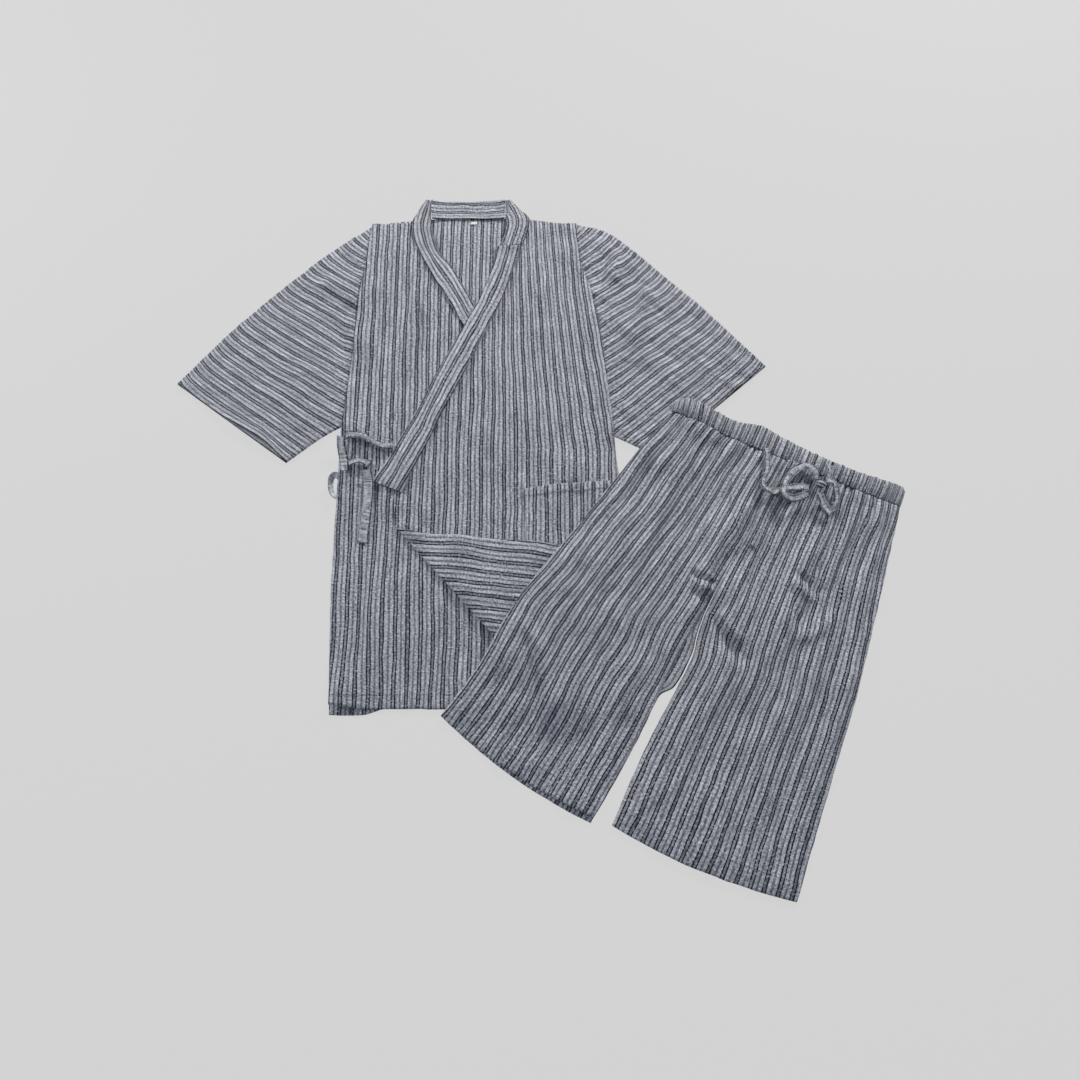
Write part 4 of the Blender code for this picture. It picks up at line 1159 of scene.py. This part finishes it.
def build_pocket(jacket):
    def relief(x, y, u, v):
        down = v * 0.142
        doubled = 0.0007 * smooth_step(0.0155, 0.0115, down)
        mouth = 0.0020 * bell(down, 0.012) * (4 * u * (1 - u))
        return doubled + mouth, 0.0
    pocket = jacket.panel("pocket", POCKET, FINE, pocket_weave, loft=0.0014, extra=relief, edge=0.010)
    rows = bmesh.new()
    size = table_size(POCKET)
    in_u, in_v = 0.0022 / size[0], 0.012 / size[1]
    stitch_row(rows, jacket, along_panel(POCKET, in_u, in_v, 1 - in_u, in_v))
    stitch_row(rows, jacket, along_panel(POCKET, in_u, 0.02, in_u, 0.98))
    stitch_row(rows, jacket, along_panel(POCKET, 0.055, 0.02, 0.055, in_v))
    stitch_row(rows, jacket, along_panel(POCKET, in_u, 0.02, 0.055, 0.02))
    finish_stitches("pocket_stitches", rows)


def collar_weave(table):
    _, length = table_size(table)

    def weave(x, y, u, v):
        left_x, left_y, right_x, right_y = smooth_rows(table, v)
        wide = np.hypot(right_x - left_x, right_y - left_y)
        return (u - 0.5) * np.maximum(wide, 0.020), v * length
    return weave


def collar_back_weave(x, y, u, v):
    return (0.5 - v) * 0.040 + 0.004, x


def build_collar(jacket, node, table, rests_on, weave=None, **bow):
    """A stretch of the collar band, slightly domed and hard-edged, with soft waves in it."""
    def relief(x, y, u, v):
        return COLLAR_WAVES * ripple(x, y, 0.016, 0.016, 71), 0.0
    band = jacket.panel(node, table, COLLAR_CELL, weave or collar_weave(table), wall=BAND,
                        dome=COLLAR_DOME, extra=relief, slope=COLLAR_SLOPE, **bow)


def build_label(jacket):
    across, down = label_high.x - label_low.x, 0.006
    left, top = LABEL_AT
    table = [Section(left, top - 0.0005, left + across, top),
             Section(left, top - 0.0005 - down, left + across, top - down)]
    mesh, u, v = new_grid("neck_label", 12, 8)
    x, y = on_sections(table, u, v)
    wx, wy = jacket.world(x, y)
    z = jacket.ground.rest(wx, wy, reach=1) + 0.0010 * smooth_step(0.1, 1.0, v) * (0.6 + 0.4 * np.sin(7 * u))
    write_points(mesh, wx, wy, z)
    write_weave(mesh, x, y)
    label = add_piece("neck_label_tape", mesh, WHITE_TAPE, ["neck_label"], LABEL_WALL)
    jacket.ground.add(mesh, LABEL_WALL)


JACKET_TACKS = [
    [(-0.1600, -0.3650), (-0.1500, -0.3720)],
    [(-0.1660, -0.5080), (-0.1590, -0.5080)],
]


def back_hem_trim(x):
    """The back's hem draws up out of sight, past the stretch that hangs open beside the side seam."""
    return 0.0085 * smooth_step(-0.125, -0.090, x)


def inner_hem_trim(x):
    """The inner front's hem lifts in a low arch beside the side seam."""
    return 0.0060 * bell(x + 0.163, 0.028) - 0.0020 * smooth_step(-0.185, -0.200, x)


def build_jacket(jacket):
    back = jacket.panel("jacket_back", JACKET_BACK, BACK_CELL,
                        straight_weave(0.0075, ease=SLEEVE_EASE),
                        extra=hem_relief(JACKET_BACK, JACKET_HEM), trim=back_hem_trim,
                        top_rise=BACK_NECK_RISE, hem_sag=BACK_HEM_SAG)
    build_sleeve(jacket, "sleeve_right", SLEEVE_RIGHT, SLEEVE_RIGHT_CREASES, math.radians(4), 0.015, 0.0065)
    build_sleeve(jacket, "sleeve_left", SLEEVE_LEFT, SLEEVE_LEFT_CREASES, math.radians(-3), 0.034, 0.0010)
    build_label(jacket)
    inner = jacket.panel("jacket_front_right", FRONT_RIGHT, FINE,
                         straight_weave(-0.153, lean=0.0133, level=-0.587), INNER_FRONT_CREASES,
                         loft=0.0022, trim=inner_hem_trim,
                         extra=hem_relief(FRONT_RIGHT, JACKET_HEM, lift=[(-0.165, 0.026, 0.007, 0.05)]))
    rows = bmesh.new()
    _, length = table_size(FRONT_RIGHT)
    level = 1 - JACKET_HEM / length
    stitch_row(rows, jacket, along_panel(FRONT_RIGHT, 0.01, level, 0.62, level))
    finish_stitches("inner_front_hem_stitches", rows)
    build_collar(jacket, "collar_right", COLLAR_RIGHT, "jacket_front_right_cloth")
    build_outer_front(jacket)
    rows = bmesh.new()
    start, end = 0.60, 0.675
    stitch_row(rows, jacket, along_panel(FRONT_LEFT, 0.020, start, 0.020, end))
    finish_stitches("outer_front_edge_stitches", rows)
    build_collar(jacket, "collar_left_neck", COLLAR_LEFT_NECK, "jacket_front_left_cloth")
    build_collar(jacket, "collar_left", COLLAR_LEFT, "jacket_front_left_cloth")
    build_collar(jacket, "collar_back", COLLAR_BACK, "jacket_back_cloth", collar_back_weave,
                 top_rise=COLLAR_BACK_DIP)
    for node, route in TIES.items():
        width = TIE_LOOP_WIDTH if node == "tie_side_loop" else TIE_WIDTH
        phase, ease = TIE_WEAVES[node]
        tie, path = jacket.tape(node, route, width, TAPE, phase, crumple=0.0002, ease=ease)
        length = sum((b - a).length for a, b in zip(path, path[1:]))
    rows = bmesh.new()
    stitch_row(rows, jacket, [(-0.1465, -0.5400), (-0.1335, -0.5405)], pitch=0.0028)
    stitch_row(rows, jacket, [(-0.1454, -0.5380), (-0.1420, -0.4750), (-0.1400, -0.4450)])
    finish_stitches("tie_tail_stitches", rows)
    rows = bmesh.new()
    for tack in JACKET_TACKS:
        stitch_row(rows, jacket, tack, pitch=0.0012, radius=0.00045, length=0.0014)
    finish_stitches("side_seam_tacks", rows)


# ---------------------------------------------------------------------------------------------
# Shorts
# ---------------------------------------------------------------------------------------------

GATHER_SEED = 17
TALLEST_GATHER = 0.0075
LEG_HEM = 0.018                                # depth of a leg's doubled hem
LEG_LOFT = 0.0038
LEG_BACK_CELL = 0.0045
LEG_CLOTH_WIDTH, LEG_CLOTH_LENGTH = 0.236, 0.58
WAISTBAND_CELL = 0.0014
WAISTBAND_LENGTH, WAISTBAND_DEPTH = 0.86, 0.030     # all round, ungathered
WAISTBAND_SHOWN = 0.58                         # bolt width across the front of the band
WAIST_FROM, WAIST_TO = -0.175, 0.180


def gather_lines():
    """Where the elastic has drawn the cloth into small folds: places, heights and widths."""
    draw = np.random.default_rng(GATHER_SEED)
    at = WAIST_FROM
    lines = []
    while at < WAIST_TO:
        at += draw.uniform(0.0062, 0.0125)
        lines.append((at, draw.uniform(0.45, 1.35), draw.uniform(0.0020, 0.0038), draw.uniform(0.05, 0.19)))
    return lines


GATHERS = gather_lines()


def leg_relief(table, depth, lift=()):
    """Fans of folds falling from the waist, and the hem at the other end."""
    hem = hem_relief(table, depth, lift=lift)
    _, length = table_size(table)

    def relief(x, y, u, v):
        left_x, _, right_x, _ = smooth_rows(table, v)
        top = table[0]
        waist_x = top.left_x + (top.right_x - top.left_x) * u
        down = v * length
        rise = np.zeros_like(x)
        pull = np.zeros_like(x)
        weave_about = 0.0040 * ripple(waist_x, down, 0.040, 0.050, 74) * smooth_step(0.0, 0.04, down)
        for at, height, width, reach in GATHERS:
            wander = 0.06 * down * np.sin(at * 300) + weave_about
            fan = bell(waist_x - at - wander, width * (1 + down * 5)) * np.exp(-down / reach)
            rise += 0.0072 * height * fan
            pull += 0.0018 * height * fan * np.sin(at * 900)
        rise += 0.0044 * ripple(waist_x, down, 0.016, 0.055, 73) * np.exp(-down / 0.20)
        rise += 0.0034 * smooth_step(0.028, 0.0, down)
        pull += 0.0052 * ripple(waist_x, down, 0.040, 0.060, 71) * np.exp(-down / 0.14)
        pull += 0.0030 * ripple(waist_x, down, 0.060, 0.080, 72)
        more, _ = hem(x, y, u, v)
        return TALLEST_GATHER * np.tanh(rise / TALLEST_GATHER) + more, pull
    return relief


def leg_weave(phase):
    def weave(x, y, u, v):
        return u * LEG_CLOTH_WIDTH - phase, v * LEG_CLOTH_LENGTH
    return weave


RIGHT_LEG_CREASES = [
    Crease(-0.118, -0.040, -0.170, -0.330, 0.010, 0.012, 0.020, 0.0026, 0.0020),
    Crease(-0.075, -0.060, -0.120, -0.300, 0.008, 0.014, 0.010, -0.0020, -0.0015),
    Crease(-0.040, -0.100, -0.060, -0.300, -0.006, 0.010, 0.016, 0.0022, 0.0015),
    Crease(-0.252, -0.400, -0.158, -0.520, -0.018, 0.005, 0.014, -0.0052, 0.0050),
    Crease(-0.236, -0.400, -0.140, -0.525, -0.018, 0.012, 0.016, 0.0060, 0.0),
    Crease(-0.200, -0.300, -0.215, -0.430, 0.006, 0.014, 0.012, 0.0020, 0.0),
    Crease(-0.110, -0.330, -0.090, -0.520, 0.008, 0.010, 0.016, -0.0024, 0.0020),
    Crease(-0.070, -0.360, -0.075, -0.560, 0.004, 0.014, 0.012, 0.0020, 0.0),
    Crease(-0.140, -0.300, -0.050, -0.420, 0.006, 0.012, 0.016, 0.0022, -0.0020),
    Crease(-0.030, -0.150, -0.004, -0.245, 0.004, 0.006, 0.010, -0.0030, 0.0026),
    Crease(-0.055, -0.215, -0.010, -0.262, -0.004, 0.008, 0.010, 0.0034, 0.0020),
    Crease(-0.062, -0.232, 0.002, -0.236, 0.002, 0.004, 0.008, -0.0040, 0.0030),
    Crease(-0.060, -0.242, 0.002, -0.247, 0.002, 0.006, 0.006, 0.0036, 0.0),
    Crease(-0.100, -0.050, -0.112, -0.330, 0.006, 0.005, 0.012, -0.0046, 0.0050),
    Crease(-0.120, -0.060, -0.128, -0.300, 0.004, 0.010, 0.008, 0.0036, -0.0020),
    Crease(-0.060, -0.040, -0.078, -0.190, -0.006, 0.004, 0.009, -0.0040, 0.0046),
    Crease(-0.150, -0.050, -0.178, -0.200, 0.006, 0.005, 0.010, -0.0036, 0.0040),
    Crease(-0.205, -0.180, -0.172, -0.330, 0.008, 0.008, 0.014, -0.0030, 0.0036),
    Crease(-0.050, -0.260, -0.012, -0.250, 0.004, 0.005, 0.008, -0.0030, 0.0020),
]
LEFT_LEG_CREASES = [
    Crease(0.000, -0.262, 0.052, -0.300, 0.004, 0.006, 0.012, 0.0046, 0.0030),
    Crease(0.006, -0.285, 0.070, -0.322, 0.006, 0.007, 0.010, -0.0040, 0.0030),
    Crease(0.025, -0.300, 0.045, -0.430, -0.010, 0.010, 0.014, 0.0024, 0.0020),
    Crease(0.060, -0.080, 0.050, -0.260, 0.008, 0.012, 0.018, -0.0022, 0.0020),
    Crease(0.095, -0.060, 0.110, -0.330, 0.010, 0.014, 0.020, 0.0026, -0.0020),
    Crease(0.120, -0.230, 0.090, -0.420, -0.010, 0.010, 0.016, -0.0030, 0.0028),
    Crease(0.140, -0.090, 0.162, -0.380, 0.006, 0.014, 0.014, 0.0020, 0.0018),
    Crease(0.085, -0.400, 0.105, -0.560, 0.004, 0.012, 0.016, 0.0022, 0.0),
    Crease(0.160, -0.350, 0.175, -0.540, 0.002, 0.012, 0.014, -0.0018, 0.0014),
    Crease(0.035, -0.400, 0.030, -0.560, 0.004, 0.012, 0.012, 0.0018, 0.0),
    Crease(0.075, -0.180, 0.115, -0.250, 0.006, 0.006, 0.010, -0.0030, 0.0030),
    Crease(0.150, -0.200, 0.105, -0.270, -0.006, 0.008, 0.012, 0.0030, -0.0020),
    Crease(0.072, -0.168, 0.128, -0.184, 0.003, 0.004, 0.008, -0.0040, 0.0030),
    Crease(0.068, -0.182, 0.124, -0.200, 0.004, 0.006, 0.007, 0.0036, 0.0),
    Crease(-0.020, -0.274, 0.030, -0.300, 0.002, 0.004, 0.007, -0.0040, 0.0030),
    Crease(0.035, -0.050, 0.030, -0.230, 0.006, 0.005, 0.011, -0.0036, 0.0044),
    Crease(0.110, -0.050, 0.092, -0.200, -0.006, 0.004, 0.010, -0.0040, 0.0050),
    Crease(0.140, -0.050, 0.150, -0.260, 0.006, 0.005, 0.012, -0.0036, 0.0044),
]


def build_waistband(shorts):
    span = WAIST_TO - WAIST_FROM

    def locate(k, v):
        left_x, left_y, right_x, right_y = smooth_rows(WAISTBAND, k)
        edge = 0.0010 * ripple(left_x, v * 0, 0.008, 0.008, 81) * (1 - v)
        return left_x + (right_x - left_x) * v, left_y + (right_y - left_y) * v + edge

    def relief(x, y, k, v, upper):
        rise = np.zeros_like(x)
        for at, height, width, _ in GATHERS:
            lean = at + 0.0012 * np.sin(at * 700) * (v - 0.5)
            rise += 0.0056 * height * bell(x - lean, width * 0.62)
        puff = 0.0020 * (1 - (2 * v - 1) ** 2)
        crimp = 0.0004 * ripple(x, y, 0.004, 0.008, 82)
        return (rise + crimp) * (0.45 + 0.55 * (1 - (2 * v - 1) ** 4)) + puff, 0.0, 0.0

    def weave(x, y, k, v):
        swing = sum(0.0034 * height * bell(x - at, 0.004) * np.sin(at * 900) for at, height, _, _ in GATHERS)
        return k * WAISTBAND_SHOWN + swing, v * WAISTBAND_DEPTH

    band = shorts.tube("waistband", locate, np.full(2, span), WAISTBAND_CELL, WAISTBAND_DEPTH, WAIST_STACK,
                       CASING, weave, relief, roll=0.0035, hold=True)


def build_leg(shorts, node, table, cell, phase, creases=(), hem_lift=()):
    """Half a front or back of the shorts. One with creases shows, and has the waist's folds too."""
    relief = leg_relief(table, LEG_HEM, hem_lift) if creases else hem_relief(table, LEG_HEM)
    leg = shorts.panel(node, table, cell, leg_weave(phase), creases, loft=LEG_LOFT if creases else 0.0,
                       extra=relief, hem_sag=LEG_HEM_SAG, edge=LEG_HEM)


def hem_stitches(shorts, node, table):
    rows = bmesh.new()
    _, length = table_size(table)
    level = 1 - LEG_HEM / length
    stitch_row(rows, shorts, along_panel(table, 0.01, level, 0.99, level, hem_sag=LEG_HEM_SAG))
    finish_stitches(node, rows)


FLY_CURVE = [
    (-0.0600, -0.0500), (-0.0575, -0.0670), (-0.0520, -0.0900), (-0.0440, -0.1140), (-0.0300, -0.1375),
    (-0.0150, -0.1540), (-0.0010, -0.1620),
]
FLY_TACK = [(0.0040, -0.1680), (0.0130, -0.1620), (0.0130, -0.1690), (0.0045, -0.1615)]


def fly_stitches(shorts):
    """The curved stitching of the fly, and the bar that closes it at the foot."""
    rows = bmesh.new()
    curve = np.array(FLY_CURVE)
    t = np.linspace(0, len(curve) - 1, 60)
    spread = [np.interp(t, np.arange(len(curve)), curve[:, k]) for k in (0, 1)]
    stitch_row(rows, shorts, np.column_stack(spread), radius=0.00042)
    stitch_row(rows, shorts, FLY_TACK, pitch=0.0012, radius=0.00045, length=0.0014)
    finish_stitches("fly_stitches", rows)


def build_knot(shorts):
    """The wrap in the middle of the bow: a small pad with folds running round it."""
    ball = bmesh.new()
    bmesh.ops.create_uvsphere(ball, u_segments=40, v_segments=24, radius=0.5)
    mesh = bpy.data.meshes.new("drawstring_knot")
    ball.to_mesh(mesh)
    ball.free()
    x, y, z = read_points(mesh).T
    angle = np.arctan2(z, x)
    folds = 1 + 0.10 * np.sin(5 * y * 2 * math.pi + 1.5 * np.sin(angle)) + 0.06 * np.sin(3 * angle)
    x, y, z = x * folds * KNOT_SIZE[0], y * KNOT_SIZE[1], z * folds * KNOT_SIZE[2]
    cx, cy = shorts.world(*KNOT_AT)
    base = shorts.ground.rest(np.array([cx]), np.array([cy]), TAPE_SLOPE, 2)[0]
    wx = cx + shorts.cos * x - shorts.sin * y
    wy = cy + shorts.sin * x + shorts.cos * y
    write_points(mesh, wx, wy, base + KNOT_SIZE[2] / 2 + z)
    write_weave(mesh, y * 0.9 + 0.0022, angle * 0.006)
    return add_piece("drawstring_knot_cloth", mesh, STRIPED, ["drawstring_knot"])


def build_drawstring(shorts):
    made = {}
    for node, route in CORDS.items():
        made[node] = shorts.tape(node, route, CORD_WIDTH * CORD_SPREAD, TAPE * CORD_PUFF, -0.0036,
                                 crumple=0.0010, ease=1.3, flatten=0.5)
    knot = build_knot(shorts)
    short = {node: piece for node, (piece, _) in made.items()}
    company = {
        "drawstring_lead_right": [knot, short["drawstring_lead_left"], short["drawstring_tail_left"]],
        "drawstring_loop_right": [],
        "drawstring_loop_left": [],
    }
    for node, others in company.items():
        piece, path = made[node]
        length = sum((b - a).length for a, b in zip(path, path[1:]))


def build_shorts(shorts):
    build_waistband(shorts)
    build_leg(shorts, "shorts_back_right", SHORTS_BACK_RIGHT, LEG_BACK_CELL, 0.0)
    build_leg(shorts, "shorts_back_left", SHORTS_FRONT_LEFT, LEG_BACK_CELL, 0.0)
    build_leg(shorts, "shorts_front_right", SHORTS_FRONT_RIGHT, FINE, 0.004, RIGHT_LEG_CREASES,
              [(-0.075, 0.030, 0.0045, 0.06), (-0.180, 0.022, 0.0030, 0.05)])
    hem_stitches(shorts, "right_leg_hem_stitches", SHORTS_FRONT_RIGHT)
    build_leg(shorts, "shorts_front_left", SHORTS_FRONT_LEFT, FINE, 0.008, LEFT_LEG_CREASES,
              [(0.110, 0.060, 0.0020, 0.05)])
    hem_stitches(shorts, "left_leg_hem_stitches", SHORTS_FRONT_LEFT)
    fly_stitches(shorts)
    shorts.ground.release()
    build_drawstring(shorts)


# ---------------------------------------------------------------------------------------------
# Studio
# ---------------------------------------------------------------------------------------------

FLOOR_SHADE = 0.07
FLOOR_GLOW = 0.613


def make_floor():
    plane = bmesh.new()
    bmesh.ops.create_grid(plane, x_segments=1, y_segments=1, size=6.0)
    mesh = bpy.data.meshes.new("floor")
    plane.to_mesh(mesh)
    plane.free()
    floor = bpy.data.objects.new("floor", mesh)
    floor.location.z = -0.0006
    bpy.context.scene.collection.objects.link(floor)
    nodes = Nodes("studio_floor")
    mesh.materials.append(nodes.finish(Base_Color=(FLOOR_SHADE, FLOOR_SHADE, FLOOR_SHADE, 1), Roughness=0.95,
                                       Specular_IOR_Level=0.0, Emission_Strength=FLOOR_GLOW,
                                       Emission_Color=(1.0, 1.0, 1.0, 1.0)))


def add_light(name, location, size, watts, colour):
    data = bpy.data.lights.new(name, "AREA")
    data.shape = "DISK"
    data.size = size
    data.energy = watts
    data.color = colour
    lamp = bpy.data.objects.new(name, data)
    lamp.location = location
    lamp.rotation_mode = "QUATERNION"
    lamp.rotation_quaternion = (CAMERA_AIM - lamp.location).to_track_quat("-Z", "Y")
    bpy.context.scene.collection.objects.link(lamp)


def make_light():
    world = bpy.data.worlds.new("studio")
    bpy.context.scene.world = world
    world.use_nodes = True
    background = world.node_tree.nodes["Background"]
    background.inputs["Color"].default_value = (0.90, 0.96, 1.06, 1.0)
    background.inputs["Strength"].default_value = 0.30
    add_light("key", Vector((-1.50, 0.80, 0.80)), 0.35, 11, (1.0, 0.97, 0.93))
    add_light("back", Vector((0.95, 1.75, 1.10)), 0.5, 30, (1.0, 0.96, 0.91))
    bpy.context.scene.view_settings.view_transform = "Standard"


# ---------------------------------------------------------------------------------------------

make_camera()
shared_ground = Ground(*CAD_BOX)
jacket_at = (label_low.x - LABEL_AT[0], label_high.y - LABEL_AT[1])
jacket = Garment(jacket_at, 0.0, shared_ground)
knot_x, knot_y = (knot_low.x + knot_high.x) / 2, (knot_low.y + knot_high.y) / 2
turn_x = math.cos(SHORTS_TURN) * KNOT_AT[0] - math.sin(SHORTS_TURN) * KNOT_AT[1]
turn_y = math.sin(SHORTS_TURN) * KNOT_AT[0] + math.cos(SHORTS_TURN) * KNOT_AT[1]
shorts = Garment((knot_x - turn_x, knot_y - turn_y), SHORTS_TURN, shared_ground)
build_jacket(jacket)
build_shorts(shorts)
make_floor()
make_light()
